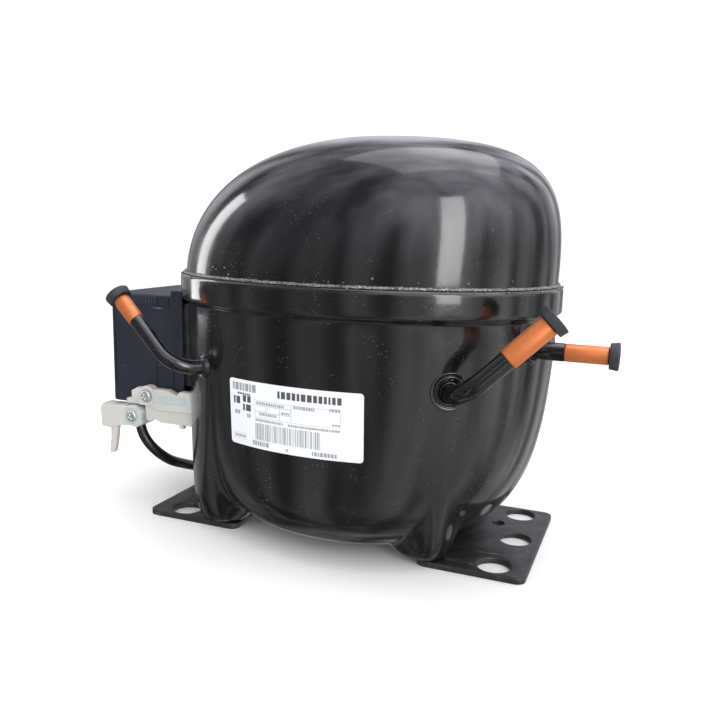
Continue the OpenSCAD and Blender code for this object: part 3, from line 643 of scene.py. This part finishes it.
def with_poles(rings, first, last):
    """Rings closed by a point at each end."""
    points = [first] + [p for r in rings for p in r] + [last]
    n, end = AROUND, 1 + len(rings) * AROUND
    faces = [[0, 1 + (i + 1) % n, 1 + i] for i in range(n)]
    for k in range(len(rings) - 1):
        low, high = 1 + k * n, 1 + (k + 1) * n
        faces += [[low + i, low + (i + 1) % n, high + (i + 1) % n, high + i] for i in range(n)]
    faces += [[end, end - n + i, end - n + (i + 1) % n] for i in range(n)]
    return points, faces


def rim_profile():
    """Outside of the rim band as (inset from the rim, height): soft step, band and rolled top."""
    step = [(STEP_IN * (0.5 + 0.5 * math.cos(math.pi * t)), STEP_LOW + (STEP_TOP - STEP_LOW) * t)
            for t in np.linspace(0.08, 1, 10)]
    band = [(0.0, STEP_TOP + 0.002), (0.0, STEP_TOP + 0.006), (0.0, RIM_TOP - RIM_ROLL - 0.0003)]
    top = [(RIM_ROLL * (1 - math.cos(a)), RIM_TOP - RIM_ROLL * (1 - math.sin(a)))
           for a in np.linspace(0.2, 1.57, 8)]
    return step + band + top


def make_shell():
    outer = pan_rings(0, 84)
    outer += [ring(RIM_A - inset, RIM_B - inset, z) for inset, z in rim_profile()]
    inner = [ring(RIM_A - SHELL_T, RIM_B - SHELL_T, z) for z in (RIM_TOP, STEP_TOP + 0.0004)]
    inner.append(ring(RIM_A - SHELL_T - STEP_IN, RIM_B - SHELL_T - STEP_IN, STEP_LOW))
    inner += pan_rings(SHELL_T, 40)[-2::-1]
    looks = shell_paint, "shell", "shell_paint", 50
    bowl = with_poles(outer + inner, (SHELL_X, SHELL_Y, PAN_LOW), (SHELL_X, SHELL_Y, PAN_LOW + SHELL_T))
    stand_in("shell_lower", "shell_bowl", bowl, *looks)
    top = DOME_TOP
    out_z = [top - (top - DOME_FOOT) * (i / 70) ** 2.1 for i in range(1, 71)]
    in_z = [top - SHELL_T - (top - SHELL_T - DOME_FOOT) * (i / 30) ** 2.1 for i in range(1, 31)]
    a, b = RIM_A - SHELL_T - SKIRT, RIM_B - SHELL_T - SKIRT
    rings = [dome_ring(z, 0) for z in out_z]
    rings += [ring(a, b, STEP_TOP + 0.001), ring(a - SHELL_T, b - SHELL_T, STEP_TOP + 0.001)]
    rings += [dome_ring(z, SHELL_T) for z in in_z[::-1]]
    dome = with_poles(rings, (SHELL_X, SHELL_Y, top), (SHELL_X, SHELL_Y, top - SHELL_T))
    stand_in("shell_upper", "shell_dome", dome, *looks)


make_shell()


# ---------------------------------------------------------------- weld seam on the rim
def make_weld():
    """A rough bead with spatter, lying on the rim where the two shells meet."""
    count, sides = 900, 12
    rings = []
    for i in range(count):
        t = 2 * math.pi * i / count
        c, s = math.cos(t), math.sin(t)
        wave = noise.noise(Vector((c, s, 0)) * 9) + 0.6 * noise.noise(Vector((c, s, 0)) * 34)
        wide = MM * (1.10 + 0.30 * wave)
        tall = MM * (1.05 + 0.30 * noise.noise(Vector((c, s, 3)) * 26) + 0.12 * math.sin(i * 1.9))
        mid = 0.0025 + MM * 0.20 * noise.noise(Vector((c, s, 7)) * 6)
        ring_points = []
        for k in range(sides):
            a = 2 * math.pi * k / sides
            inset = mid + wide * math.cos(a)
            x = (RIM_A - inset) * power(c, 2 / OVAL_N) + SHELL_X
            y = (RIM_B - inset) * power(s, 2 / OVAL_N) + SHELL_Y
            height = tall * math.sin(a) * (1 if math.sin(a) > 0 else 0.3)
            ring_points.append((x, y, RIM_TOP + 0.0002 + height))
        rings.append(ring_points)
    stand_in("weld_bead", "weld_seam", skin(rings, loop=True), weld_scale, "shell", "weld", 80)
    rng = random.Random(7)
    b = bmesh.new()
    for _ in range(70):
        t = rng.uniform(0, 2 * math.pi)
        up = rng.random() < 0.45
        inset = SHELL_T + SKIRT if up else rng.uniform(0.0002, 0.0008)
        z = RIM_TOP + rng.uniform(0.001, 0.006) if up else RIM_TOP - rng.uniform(0.0, 0.001)
        x = (RIM_A - inset) * power(math.cos(t), 2 / OVAL_N) + SHELL_X
        y = (RIM_B - inset) * power(math.sin(t), 2 / OVAL_N) + SHELL_Y
        drop = bmesh.ops.create_icosphere(b, subdivisions=2, radius=MM * rng.uniform(0.22, 0.6))
        bmesh.ops.translate(b, verts=drop["verts"], vec=(x, y, z))
    add_mesh("weld_spatter", *take(b), weld_scale, "shell", "weld", 80)


make_weld()


# ---------------------------------------------------------------- base plates
PLATE_IN, PLATE_OUT, PLATE_HALF, PLATE_CORNER = 0.049, (0.1035, 0.101), 0.045, 0.0045
BOLT_X, BOLT_Y, BOLT_R, MID_X, PEG, PEG_R = 0.085, 0.035, 0.008, 0.0886, (0.076, 0.018), 0.0033


def holed_plate(name, outline, holes, thick, bevel, z, material):
    """A flat plate with round holes and rounded edges."""
    curve = bpy.data.curves.new(name, "CURVE")
    curve.dimensions, curve.fill_mode = "2D", "BOTH"
    curve.extrude, curve.offset = thick / 2 - bevel, -bevel
    curve.bevel_depth, curve.bevel_resolution = bevel, 2
    for loop in [outline] + holes:
        spline = curve.splines.new("POLY")
        spline.points.add(len(loop) - 1)
        for point, (x, y) in zip(spline.points, loop):
            point.co = (x, y, 0, 1)
        spline.use_cyclic_u = True
    source = bpy.data.objects.new(name + "_curve", curve)
    scene.collection.objects.link(source)
    graph = bpy.context.evaluated_depsgraph_get()
    mesh = bpy.data.meshes.new_from_object(source.evaluated_get(graph))
    bpy.data.objects.remove(source)
    mesh.transform(Matrix.Translation((0, 0, z)))
    plate = bpy.data.objects.new(name, mesh)
    scene.collection.objects.link(plate)
    finish_mesh(plate, material, "shell", "plate", 40)
    return plate


def round_loop(x, y, r, sides=56):
    return [(x + r * math.cos(2 * math.pi * i / sides), y + r * math.sin(2 * math.pi * i / sides))
            for i in range(sides)]


def make_plates():
    for side, out, node in ((-1, PLATE_OUT[0], "base_plate_left"), (1, PLATE_OUT[1], "base_plate_right")):
        corners = [(PLATE_IN, -PLATE_HALF), (out, -PLATE_HALF), (out, PLATE_HALF), (PLATE_IN, PLATE_HALF)]
        outline = [(side * x, y) for x, y in rounded(corners, PLATE_CORNER, 8)]
        holes = [round_loop(side * BOLT_X, y, BOLT_R) for y in (-BOLT_Y, BOLT_Y)]
        holes += [round_loop(side * MID_X, 0, BOLT_R), round_loop(side * PEG[0], PEG[1], PEG_R, 32)]
        plate = holed_plate(node.replace("base_", "") + "_pressed", outline, holes, PLATE_T, 0.0005,
                            PLATE_T / 2, plate_paint)
        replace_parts(plate, node)


make_plates()


# ---------------------------------------------------------------- tubes, collars, copper ends and plugs
def heading(az, el=0):
    az, el = math.radians(az), math.radians(el)
    return Vector((math.cos(el) * math.cos(az), math.cos(el) * math.sin(az), math.sin(el)))


# root on the wall, way out, run (straight, bend radius, straight, copper), way the end points,
# tube radius, copper radius, collar radius
TUBES = {
    "suction": ((0.06516, -0.05581, 0.0883), -62, (0.00265, 0.0153, 0.013, 0.0215), (17, 43),
                0.0044, 0.0048, 0.0088),
    "discharge": ((-0.06008, -0.05594, 0.088), -126.5, (0.0036, 0.0173, 0.0202, 0.0136), (172.3, 43),
                  0.0036, 0.004, 0.0058),
    "process": ((0.0951, -0.02608, 0.1056), -24, (0.0016, 0.020, 0.0048, 0.0188), (0, 0),
                0.0041, 0.004, 0.007)}
TUBE_WALL, STUB_WALL, PLUG_GAP, PLUG_T, PLUG_STEM = 0.0007, 0.00065, 0.0003, 0.004, 0.009


def tube_line(root, out, run, end, steps=28):
    angle = math.acos(out.dot(end))
    side = unit(end - out * out.dot(end))
    line = [root - 0.0055 * out, root]
    for i in range(steps + 1):
        t = angle * i / steps
        line.append(root + out * (run[0] + run[1] * math.sin(t)) + side * run[1] * (1 - math.cos(t)))
    return line + [line[-1] + end * run[2]]


def collar_profile(tube_r, rim_r):
    """Pressed seat with a raised lip round the tube, and the brazing that fills up to the tube."""
    lip = tube_r + (rim_r - tube_r) * 0.45
    outer = [(rim_r, -0.003), (rim_r, 0.0003)] + arc(rim_r - 0.0004, 0.0003, 0.0004, 0, 90, 4)
    seat = [(lip + 0.0009, 0.0005)]
    ridge = arc(lip + 0.0003, 0.0009, 0.0006, 0, 170, 6)
    groove = [(lip - 0.0005, 0.0002), (tube_r + 0.0009, 0.0003), (tube_r + 0.0004, 0.0008),
              (tube_r + 0.00005, 0.0018), (tube_r - 0.0003, 0.0019)]
    return outer + seat + ridge + groove


def stub_profile(r, tube_r, length):
    """Copper end: rounded lower edge over the tube, open bore at the far end."""
    lower = [(tube_r - TUBE_WALL, 0.0), (r - 0.0007, 0.0)] + arc(r - 0.0007, 0.0007, 0.0007, -90, 0, 5)
    mouth = arc(r - 0.0003, length - 0.0003, 0.0003, 0, 90, 3) + [(r - STUB_WALL, length)]
    return lower + mouth + [(r - STUB_WALL, 0.002), (tube_r - TUBE_WALL, 0.002)]


def plug_profile(r):
    """Plug: tapered stem, thin neck and a flange that flares outwards to a slightly domed face."""
    stem = r - STUB_WALL - 0.00006
    narrow, wide = r + 0.0018, r + 0.00225
    base = [(0, -PLUG_STEM), (stem - 0.0008, -PLUG_STEM), (stem, 0.0015 - PLUG_STEM), (stem, 0.0)]
    flange = arc(narrow - 0.0003, 0.0003, 0.0003, -90, -10, 3) + [(narrow + 0.0001, 0.0012)]
    flange += arc(wide - 0.0005, PLUG_T - 0.0005, 0.0005, 5, 90, 4)
    face = [(wide - 0.002, PLUG_T + 0.0002), (0.0018, PLUG_T + 0.0002), (0.0013, PLUG_T - 0.0002),
            (0, PLUG_T - 0.0002)]
    return base + flange + face


def make_tubes():
    for name, (root, out_az, run, end_dir, r, stub_r, rim_r) in TUBES.items():
        root, out, end = Vector(root), heading(out_az), heading(*end_dir)
        line = tube_line(root, out, run, end)
        tip = line[-1]
        mouth = tip + end * (run[3] + PLUG_GAP)
        seat = lathe(root, out, collar_profile(r, rim_r), 72, "open")
        stub = lathe(tip, end, stub_profile(stub_r, r, run[3]), 64, "open")
        plug = lathe(mouth, end, plug_profile(stub_r), 64, "open")
        stand_in(name + "_tube", name + "_pipe", skin(sweep(line, r, 48)), tube_paint, "shell",
                 "tube_paint", 50)
        stand_in(name + "_collar", name + "_seat", seat, tube_paint, "shell", "tube_paint", 70)
        stand_in(name + "_stub", name + "_copper", stub, copper, "shell", "copper", 40)
        stand_in(name + "_plug", name + "_cap_moulded", plug, rubber, name + "_cap", "rubber", 32)


make_tubes()


# ---------------------------------------------------------------- rating label with made-up print
LABEL_X, LABEL_Z = (-0.0395, 0.0305), (0.0545, 0.0865)


def wall_y(x, z, off):
    a, b = (half + off for half in pan_halves(z, 0))
    return SHELL_Y - b * (1 - abs((x - SHELL_X) / a) ** OVAL_N) ** (1 / OVAL_N)


def on_label(u, v, off):
    """A place on the label: u from left to right, v from top to bottom, both 0 to 1."""
    x = LABEL_X[0] + (LABEL_X[1] - LABEL_X[0]) * u
    z = LABEL_Z[1] + (LABEL_Z[0] - LABEL_Z[1]) * v
    return Vector((x, wall_y(x, z, off), z))


def label_part(boxes, off, steps=0.02):
    """Flat printed boxes (u0, v0, u1, v1) wrapped on the wall."""
    points, faces = [], []
    for u0, v0, u1, v1 in boxes:
        count = max(1, math.ceil((u1 - u0) / steps))
        for k in range(count):
            a, c = u0 + (u1 - u0) * k / count, u0 + (u1 - u0) * (k + 1) / count
            base = len(points)
            points += [on_label(u, v, off) for u, v in ((a, v1), (c, v1), (c, v0), (a, v0))]
            faces.append([base, base + 1, base + 2, base + 3])
    return points, faces


def block_row(rng, u0, v0, u1, v1, blocks):
    """A row of plain blocks of uneven width that stands for a line of print and spells nothing."""
    weights = [rng.uniform(0.6, 1.6) for _ in range(blocks)]
    gap = 0.30 * (u1 - u0) / blocks
    scale = (u1 - u0 - gap * (blocks - 1)) / sum(weights)
    boxes, u = [], u0
    for w in weights:
        boxes.append((u, v0, u + w * scale, v1))
        u += w * scale + gap
    return boxes


def frame_boxes(u0, v0, u1, v1, t):
    return [(u0, v0, u1, v0 + t * 2), (u0, v1 - t * 2, u1, v1), (u0, v0, u0 + t, v1), (u1 - t, v0, u1, v1)]


def make_label():
    wide, tall = LABEL_X[1] - LABEL_X[0], LABEL_Z[1] - LABEL_Z[0]
    corner = 0.0016
    columns = 64
    rings = []
    for k in range(columns + 1):
        s = 0.5 - 0.5 * math.cos(math.pi * k / columns)
        x = s * wide
        edge = min(x, wide - x)
        cut = 0.0 if edge > corner else corner - math.sqrt(max(0, corner ** 2 - (corner - edge) ** 2))
        v0, v1 = cut / tall, 1 - cut / tall
        if v1 - v0 > 0.999:
            v0, v1 = 0.0, 1.0
        rings.append([on_label(s, v0 + (v1 - v0) * j / 6, 0.00040) for j in range(7)]
                     + [on_label(s, v1 - (v1 - v0) * j / 6, 0.00010) for j in range(7)])
    stand_in("rating_label", "label_sheet", skin(rings), label_film, "shell", "label", 30)
    rng = random.Random(21)
    bold = block_row(rng, 0.41, 0.085, 0.86, 0.190, 13)
    bold += block_row(rng, 0.035, 0.26, 0.095, 0.37, 2)
    bold += block_row(rng, 0.12, 0.23, 0.19, 0.33, 2) + block_row(rng, 0.12, 0.36, 0.19, 0.46, 2)
    bold += block_row(rng, 0.075, 0.195, 0.185, 0.225, 6)
    grey = block_row(rng, 0.03, 0.05, 0.235, 0.165, 7)
    grey += block_row(rng, 0.20, 0.885, 0.335, 0.955, 7) + block_row(rng, 0.66, 0.905, 0.83, 0.965, 8)
    grey += block_row(rng, 0.24, 0.285, 0.46, 0.325, 14) + block_row(rng, 0.26, 0.445, 0.40, 0.485, 10)
    grey += block_row(rng, 0.53, 0.27, 0.68, 0.315, 9) + block_row(rng, 0.78, 0.25, 0.85, 0.295, 4)
    grey += block_row(rng, 0.23, 0.545, 0.45, 0.58, 15) + block_row(rng, 0.49, 0.55, 0.85, 0.585, 24)
    grey += block_row(rng, 0.80, 0.47, 0.85, 0.50, 3) + block_row(rng, 0.44, 0.385, 0.50, 0.42, 4)
    grey += block_row(rng, 0.04, 0.84, 0.135, 0.885, 7) + block_row(rng, 0.045, 0.47, 0.09, 0.53, 2)
    grey += block_row(rng, 0.155, 0.50, 0.185, 0.56, 2) + block_row(rng, 0.47, 0.925, 0.485, 0.96, 1)
    grey += frame_boxes(0.225, 0.265, 0.855, 0.525, 0.0022)
    grey += [(0.225, 0.335, 0.51, 0.341), (0.225, 0.43, 0.51, 0.436), (0.51, 0.265, 0.513, 0.525),
             (0.425, 0.335, 0.428, 0.525), (0.315, 0.335, 0.318, 0.43)]
    grey += frame_boxes(0.028, 0.815, 0.145, 0.91, 0.0015)
    u = 0.225
    while u < 0.72:
        w = rng.choice((0.0035, 0.0035, 0.006, 0.010))
        grey.append((u, 0.61, u + w, 0.865))
        u += w + rng.choice((0.004, 0.006, 0.009))
    add_mesh("label_print_bold", *label_part(bold, 0.00044), black_ink, "shell", "label", 80)
    add_mesh("label_print_fine", *label_part(grey, 0.00043), grey_ink, "shell", "label", 80)


make_label()


# ---------------------------------------------------------------- relay cover
def cut_parts(piece, parts):
    """Cuts (points, faces) parts out of a piece."""
    for points, faces in parts:
        mesh = bpy.data.meshes.new("cutter")
        mesh.from_pydata([tuple(p) for p in points], [], faces)
        tool = bpy.data.objects.new("cutter", mesh)
        scene.collection.objects.link(tool)
        modifier = piece.modifiers.new("cut", "BOOLEAN")
        modifier.operation, modifier.solver, modifier.object = "DIFFERENCE", "EXACT", tool
        with bpy.context.temp_override(object=piece):
            bpy.ops.object.modifier_apply(modifier=modifier.name)
        bpy.data.objects.remove(tool)
        bpy.data.meshes.remove(mesh)


COVER_X, COVER_Y, COVER_Z, COVER_T = (-0.136, -0.088), (-0.032, 0.032), (0.058, 0.119), 0.002
END_X, END_R = -0.0392, 0.0585


def make_cover():
    """Hollow box with a curved open side that follows the shell, and a notch for the clamp's arm."""
    arc_y = [COVER_Y[1] - 0.0005 - (COVER_Y[1] - COVER_Y[0] - 0.001) * k / 24 for k in range(25)]
    rear = COVER_X[1] - 0.0001
    curve = [(min(rear, END_X - math.sqrt(END_R ** 2 - (y - SHELL_Y) ** 2)), y) for y in arc_y]
    plan = rounded([(curve[-1][0], COVER_Y[0], 0), (COVER_X[0], COVER_Y[0]), (COVER_X[0], COVER_Y[1]),
                    (curve[0][0], COVER_Y[1], 0)], 0.0022, 6) + curve[1:-1]
    looks = navy_plastic, "electrics", "navy_plastic", 32
    block = plate_part(plan, COVER_Z[0], COVER_Z[1], 0.0012, lambda x, y, z: (x, y, z), 4)
    body = add_mesh("cover_box", *block, *looks)
    cuts = [((COVER_X[0] + COVER_T, COVER_Y[0] + COVER_T, 0.064), (-0.07, COVER_Y[1] - COVER_T, 0.117)),
            ((-0.1115, COVER_Y[0] + COVER_T, 0.060), (-0.07, COVER_Y[1] - COVER_T, 0.066)),
            ((-0.1245, -0.04, 0.050), (-0.1135, 0.04, 0.0620))]
    corner = rounded([(-0.0945, 0.1250, 0), (-0.0943, 0.1165), (-0.0918, 0.1084), (-0.0891, 0.1023),
                      (-0.0879, 0.0952), (-0.0800, 0.0950, 0), (-0.0800, 0.1250, 0)], 0.004, 5)
    cut_parts(body, [box_part(low, high, 0.0002, 1) for low, high in cuts]
              + [plate_part(corner, -0.034, COVER_Y[0] + 0.004, 0, lambda x, z, y: (x, y, z))])
    finish_mesh(body, *looks)
    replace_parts(body, "relay_cover")
    front = COVER_Y[0]
    ribs = []
    for x0, x1, z0, z1 in ((-0.1339, -0.1049, 0.1135, 0.1183), (-0.0985, -0.0975, 0.1120, 0.1185),
                           (-0.1063, -0.1058, 0.0700, 0.0830), (-0.0955, -0.0885, 0.0868, 0.0958),
                           (-0.0957, -0.0949, 0.0690, 0.0790), (-0.0889, -0.0882, 0.0690, 0.0790),
                           (-0.1339, -0.1334, 0.0690, 0.1110)):
        ribs.append(box_part((x0, front - 0.0005, z0), (x1, front + 0.001, z1), 0.00022, 2))
    for k in range(14):
        x = -0.1335 + 0.0021 * k
        ribs.append(box_part((x, front - 0.0007, 0.1137), (x + 0.0006, front, 0.1181), 0.00018, 1))
    end = COVER_X[0]
    for z in (0.0665, 0.0955, 0.1105):
        ribs.append(box_part((end - 0.0008, -0.029, z), (end + 0.001, 0.029, z + 0.0012), 0.0003, 2))
    ribs.append(box_part((end - 0.0018, -0.024, 0.1005), (end + 0.001, 0.024, 0.1100), 0.0012, 4))
    ribs.append(box_part((-0.0965, front + 0.0001, 0.1186), (-0.0882, front + 0.0048, 0.1218), 0.0005, 3))
    join("cover_ribs", ribs, *looks)


make_cover()


# ---------------------------------------------------------------- cord clamp and its screws
FACE = -0.038
UPPER_SCREW, LOWER_SCREW = (-0.1087, 0.0642), (-0.1184, 0.0518)


def facing(depth):
    """Places an outline drawn in x and z so that its pull runs back from the clamp's face."""
    return lambda x, z, d: (x, FACE + depth + d, z)


def screw_boss(screw, depth, r, tall, rim, floor, sides):
    """Round boss in front of the clamp, with a shallow seat for a screw head."""
    return lathe((screw[0], FACE + depth, screw[1]), (0, -1, 0),
                 [(0.0001, 0), (r, 0), (r, tall)] + arc(r - 0.0008, tall, 0.0008, 0, 90, 4)
                 + [(rim, tall + 0.0008), (rim - 0.0002, floor), (0.0001, floor)], sides)


def make_clamp():
    looks = nylon, "electrics", "nylon", 32
    side = rounded([(-0.1203, 0.0583), (-0.1205, 0.0657), (-0.1158, 0.0682), (-0.1140, 0.0682),
                    (-0.1140, 0.0583)], 0.0008, 3)
    upper = rounded([(-0.1150, 0.0585), (-0.1143, 0.0672), (-0.1130, 0.0684), (-0.0960, 0.0684),
                     (-0.0900, 0.0662), (-0.0880, 0.0684), (-0.0802, 0.0684), (-0.0790, 0.0570),
                     (-0.1030, 0.0565), (-0.1080, 0.0585)], 0.0014, 4)
    lower = rounded([(-0.1118, 0.0600), (-0.1115, 0.0500), (-0.1090, 0.0493), (-0.1060, 0.0508),
                     (-0.1015, 0.0494), (-0.0850, 0.0496), (-0.0800, 0.0494), (-0.0776, 0.0494),
                     (-0.0776, 0.0600)], 0.0008, 4)
    parts = [plate_part(side, 0.0, 0.0030, 0.0005, facing(0.0021)),
             plate_part(upper, 0.0, 0.0050, 0.0009, facing(0.0005)),
             plate_part(lower, 0.0, 0.0034, 0.0005, facing(0.0023)),
             box_part((-0.1238, FACE + 0.0020, 0.0583), (-0.1146, FACE + 0.0140, 0.0614), 0.0006),
             box_part((-0.1238, FACE + 0.0108, 0.0462), (-0.1146, FACE + 0.0138, 0.0588), 0.0006),
             box_part((-0.1020, FACE + 0.0004, 0.0605), (-0.0835, FACE + 0.0020, 0.0655), 0.0008),
             box_part((-0.1012, FACE + 0.0014, 0.0583), (-0.0835, FACE + 0.0030, 0.0593), 0.0003),
             box_part((-0.0896, FACE + 0.0022, 0.0476), (-0.0866, FACE + 0.0050, 0.0500), 0.0004)]
    parts.append(screw_boss(UPPER_SCREW, 0.0050, 0.0056, 0.0042, 0.0038, 0.0046, 48))
    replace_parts(join("clamp_body", parts, *looks), "clamp_base")
    saddle = rounded([(-0.1409, 0.0556), (-0.1400, 0.0434), (-0.1338, 0.0432), (-0.1280, 0.0452),
                      (-0.1200, 0.0462), (-0.1165, 0.0452), (-0.1125, 0.0480), (-0.1122, 0.0550),
                      (-0.1150, 0.0572), (-0.1230, 0.0570), (-0.1258, 0.0576), (-0.1280, 0.0570)],
                     0.0010, 4)
    parts = [plate_part(saddle, 0.0, 0.0101, 0.0008, facing(0.0001)),
             box_part((-0.1407, FACE + 0.0015, 0.0540), (-0.1285, FACE + 0.0100, 0.0568), 0.0010),
             screw_boss(LOWER_SCREW, 0.0060, 0.0061, 0.0053, 0.0046, 0.0056, 56)]
    tail_y = FACE + 0.0036
    rings = []
    for x, z, half in ((-0.1328, 0.0462, 0.0032), (-0.1331, 0.0420, 0.0025), (-0.1334, 0.0375, 0.0022),
                       (-0.1341, 0.0330, 0.0021), (-0.1346, 0.0300, 0.0020), (-0.1349, 0.0284, 0.0013)):
        rings.append([(x + half * power(math.cos(a), 0.6), tail_y + 0.0017 * power(math.sin(a), 0.6), z)
                      for a in np.linspace(0, 2 * math.pi, 24, endpoint=False)])
    parts.append(skin(rings))
    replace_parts(join("clamp_saddle_moulded", parts, *looks), "clamp_saddle")


HEAD_R, HEAD_EDGE, HEAD_ROUND, ROUND_TO = 0.0031, 0.0007, 0.0009, 80
RECESS_R, RECESS_DEEP, SCREW_TURN = 0.0019, 0.0010, 20


def screw_part(place, shank):
    """Pan head with a cross recess: rings that dip along the arms of the cross."""
    x, y, z = place[0], FACE - 0.0001, place[1]
    profile = [(0.0001, -shank), (0.0015, -shank), (0.0015, 0.0), (HEAD_R, 0.0), (HEAD_R, HEAD_EDGE)]
    profile += arc(HEAD_R - HEAD_ROUND, HEAD_EDGE, HEAD_ROUND, 0, ROUND_TO, 5)
    top_r, top_h = profile[-1]
    rings = []
    for k in range(9, -1, -1):
        r = top_r * k / 9
        ring_points = []
        for i in range(48):
            a = 2 * math.pi * i / 48
            arm = abs(math.cos(2 * (a - math.radians(SCREW_TURN)))) ** 6
            deep = RECESS_DEEP * (arm * max(0, 1 - (r / RECESS_R) ** 3) if r > 0.0004 else 1)
            height = top_h + 0.0001 * (1 - k / 9) - deep
            ring_points.append((x + r * math.cos(a), y - height, z + r * math.sin(a)))
        rings.append(ring_points)
    return [lathe((x, y, z), (0, -1, 0), profile, 48, "open"), skin(rings, "open")]


def make_screws():
    parts = screw_part(UPPER_SCREW, 0.009) + screw_part(LOWER_SCREW, 0.003)
    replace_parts(join("clamp_screw_heads", parts, zinc, "electrics", "zinc", 40), "clamp_screws")


make_clamp()
make_screws()


# ---------------------------------------------------------------- start capacitor behind the cover
def make_capacitor():
    centre, r = Vector((-0.113, 0.052, 0.050)), 0.017
    profile = [(0.0001, 0.0005), (r - 0.0012, 0.0)] + arc(r - 0.0012, 0.0012, 0.0012, -90, 0, 4)
    profile += [(r, 0.030), (r - 0.0002, 0.0305), (r, 0.031), (r, 0.0640), (r - 0.0006, 0.0646),
                (r - 0.0006, 0.0652)]
    profile += arc(r - 0.0010, 0.0664, 0.0010, 0, 120, 5)
    profile += [(r - 0.0025, 0.0668), (r - 0.0028, 0.0680), (r - 0.0034, 0.0695), (0.0001, 0.0700)]
    stand_in("start_capacitor", "capacitor_case", lathe(centre, (0, 0, 1), profile, 80), dark_plastic,
             "electrics", "dark_plastic", 32)
    boot = [(0.0052, 0.0005), (0.0052, -0.0004)] + arc(0.0044, -0.0006, 0.0008, 0, -80, 4)
    boot += [(0.0032, -0.0035), (0.0030, -0.0036), (0.0030, 0.0005)]
    add_mesh("lead_boot", *lathe(centre + Vector((0, 0, 0.0001)), (0, 0, 1), boot, 40), rubber, "electrics",
             "rubber", 40)


make_capacitor()


# ---------------------------------------------------------------- parts that keep their CAD shape
def dress(material, *nodes):
    for name in nodes:
        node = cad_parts[name]
        node.data.materials.clear()
        node.data.materials.append(material)


dress(steel, "terminal_cup", "stator_screws", "spring_brackets", "valve_plate", "head_bolts", "oil_pickup",
      "capacitor_clip", "piston_yoke", "discharge_muffler", "discharge_line")
dress(zinc, "terminal_pins")
dress(glass, "terminal_glass")
dress(fence_metal, "terminal_fence")
dress(dark_plastic, "spring_pins", "spring_caps", "overload_protector")
dress(spring_steel, "suspension_springs", "suction_reed", "discharge_reed")
dress(cream_plastic, "inner_leads", "inner_connector", "start_relay", "suction_muffler")
dress(cast_iron(), "crankcase", "crankshaft", "counterweight")
dress(lamination(), "stator_core", "rotor_core")
dress(winding(), "stator_windings")
dress(aluminium, "rotor_rings", "cylinder_head")
dress(fibre(), "head_gasket")
dress(bronze, "gallery_plug", "slide_block")


# ---------------------------------------------------------------- floor and light
def make_stage():
    floor = bpy.data.meshes.new("floor")
    half = 30
    corners = [(x * half, y * half, 0) for x, y in ((-1, -1), (1, -1), (1, 1), (-1, 1))]
    floor.from_pydata(corners, [], [(0, 1, 2, 3)])
    floor_object = bpy.data.objects.new("floor", floor)
    scene.collection.objects.link(floor_object)
    s = Surface("floor_white", (0.955, 0.955, 0.955), 0.9)
    s.patches((3, 2), (0.3, 0.7), 0.95)
    floor.materials.append(s.material)
    floor_object.visible_glossy = False


def area_light(name, place, target, size, power_w):
    light = bpy.data.lights.new(name, "AREA")
    light.shape = "RECTANGLE"
    light.size, light.size_y = size
    light.energy = power_w
    lamp = bpy.data.objects.new(name, light)
    scene.collection.objects.link(lamp)
    lamp.location = place
    lamp.rotation_euler = (Vector(target) - Vector(place)).to_track_quat("-Z", "Y").to_euler()
    lamp.visible_camera = False
    return lamp


def make_light():
    """White surround for the eye; darker graded surround in reflections, with soft boxes."""
    world = bpy.data.worlds.new("studio")
    scene.world = world
    world.use_nodes = True
    graph = Graph(world.node_tree, "Generated")
    nodes, links = graph.tree.nodes, graph.tree.links
    plain = nodes["Background"]
    plain.inputs[0].default_value = (1.0, 1.0, 1.0, 1)
    plain.inputs[1].default_value = 1.07
    split = graph.node("ShaderNodeSeparateXYZ", vector=graph.coords)
    ramp = graph.node("ShaderNodeValToRGB", fac=graph.level(split.outputs["Z"], -1, 1))
    bands = ((0.0, 0.22), (0.40, 0.30), (0.50, 0.26), (0.60, 0.42), (0.75, 0.55), (1.0, 0.7))
    elements = ramp.color_ramp.elements
    for k, (place, grey) in enumerate(bands):
        element = elements[k] if k < 2 else elements.new(place)
        element.position = place
        element.color = (grey, grey, grey * (0.92 + 0.25 * place), 1)
    streaks = graph.level(graph.noise(3.2, 3, 0.5, (1, 1, 0.2)), 0.38, 0.66, 0.25, 1.9)
    side = graph.level(split.outputs["X"], -0.5, 0.9, 0.9, 2.6)
    graded = graph.node("ShaderNodeBackground", color=ramp.outputs[0], strength=graph.times(streaks, side))
    mix = graph.node("ShaderNodeMixShader", fac=nodes.new("ShaderNodeLightPath").outputs["Is Glossy Ray"])
    links.new(plain.outputs[0], mix.inputs[1])
    links.new(graded.outputs[0], mix.inputs[2])
    links.new(mix.outputs[0], nodes["World Output"].inputs[0])
    area_light("top_box", (0.15, 0.15, 1.3), (0, 0, 0.15), (1.0, 1.2), 6.5)
    area_light("right_strip", (0.85, -0.85, 0.45), (0, 0, 0.12), (0.30, 0.9), 5)
    area_light("left_strip", (-1.05, 0.10, 0.35), (0, 0, 0.10), (0.22, 0.8), 2.5)
    scene.view_settings.view_transform = "Standard"


make_stage()
make_light()
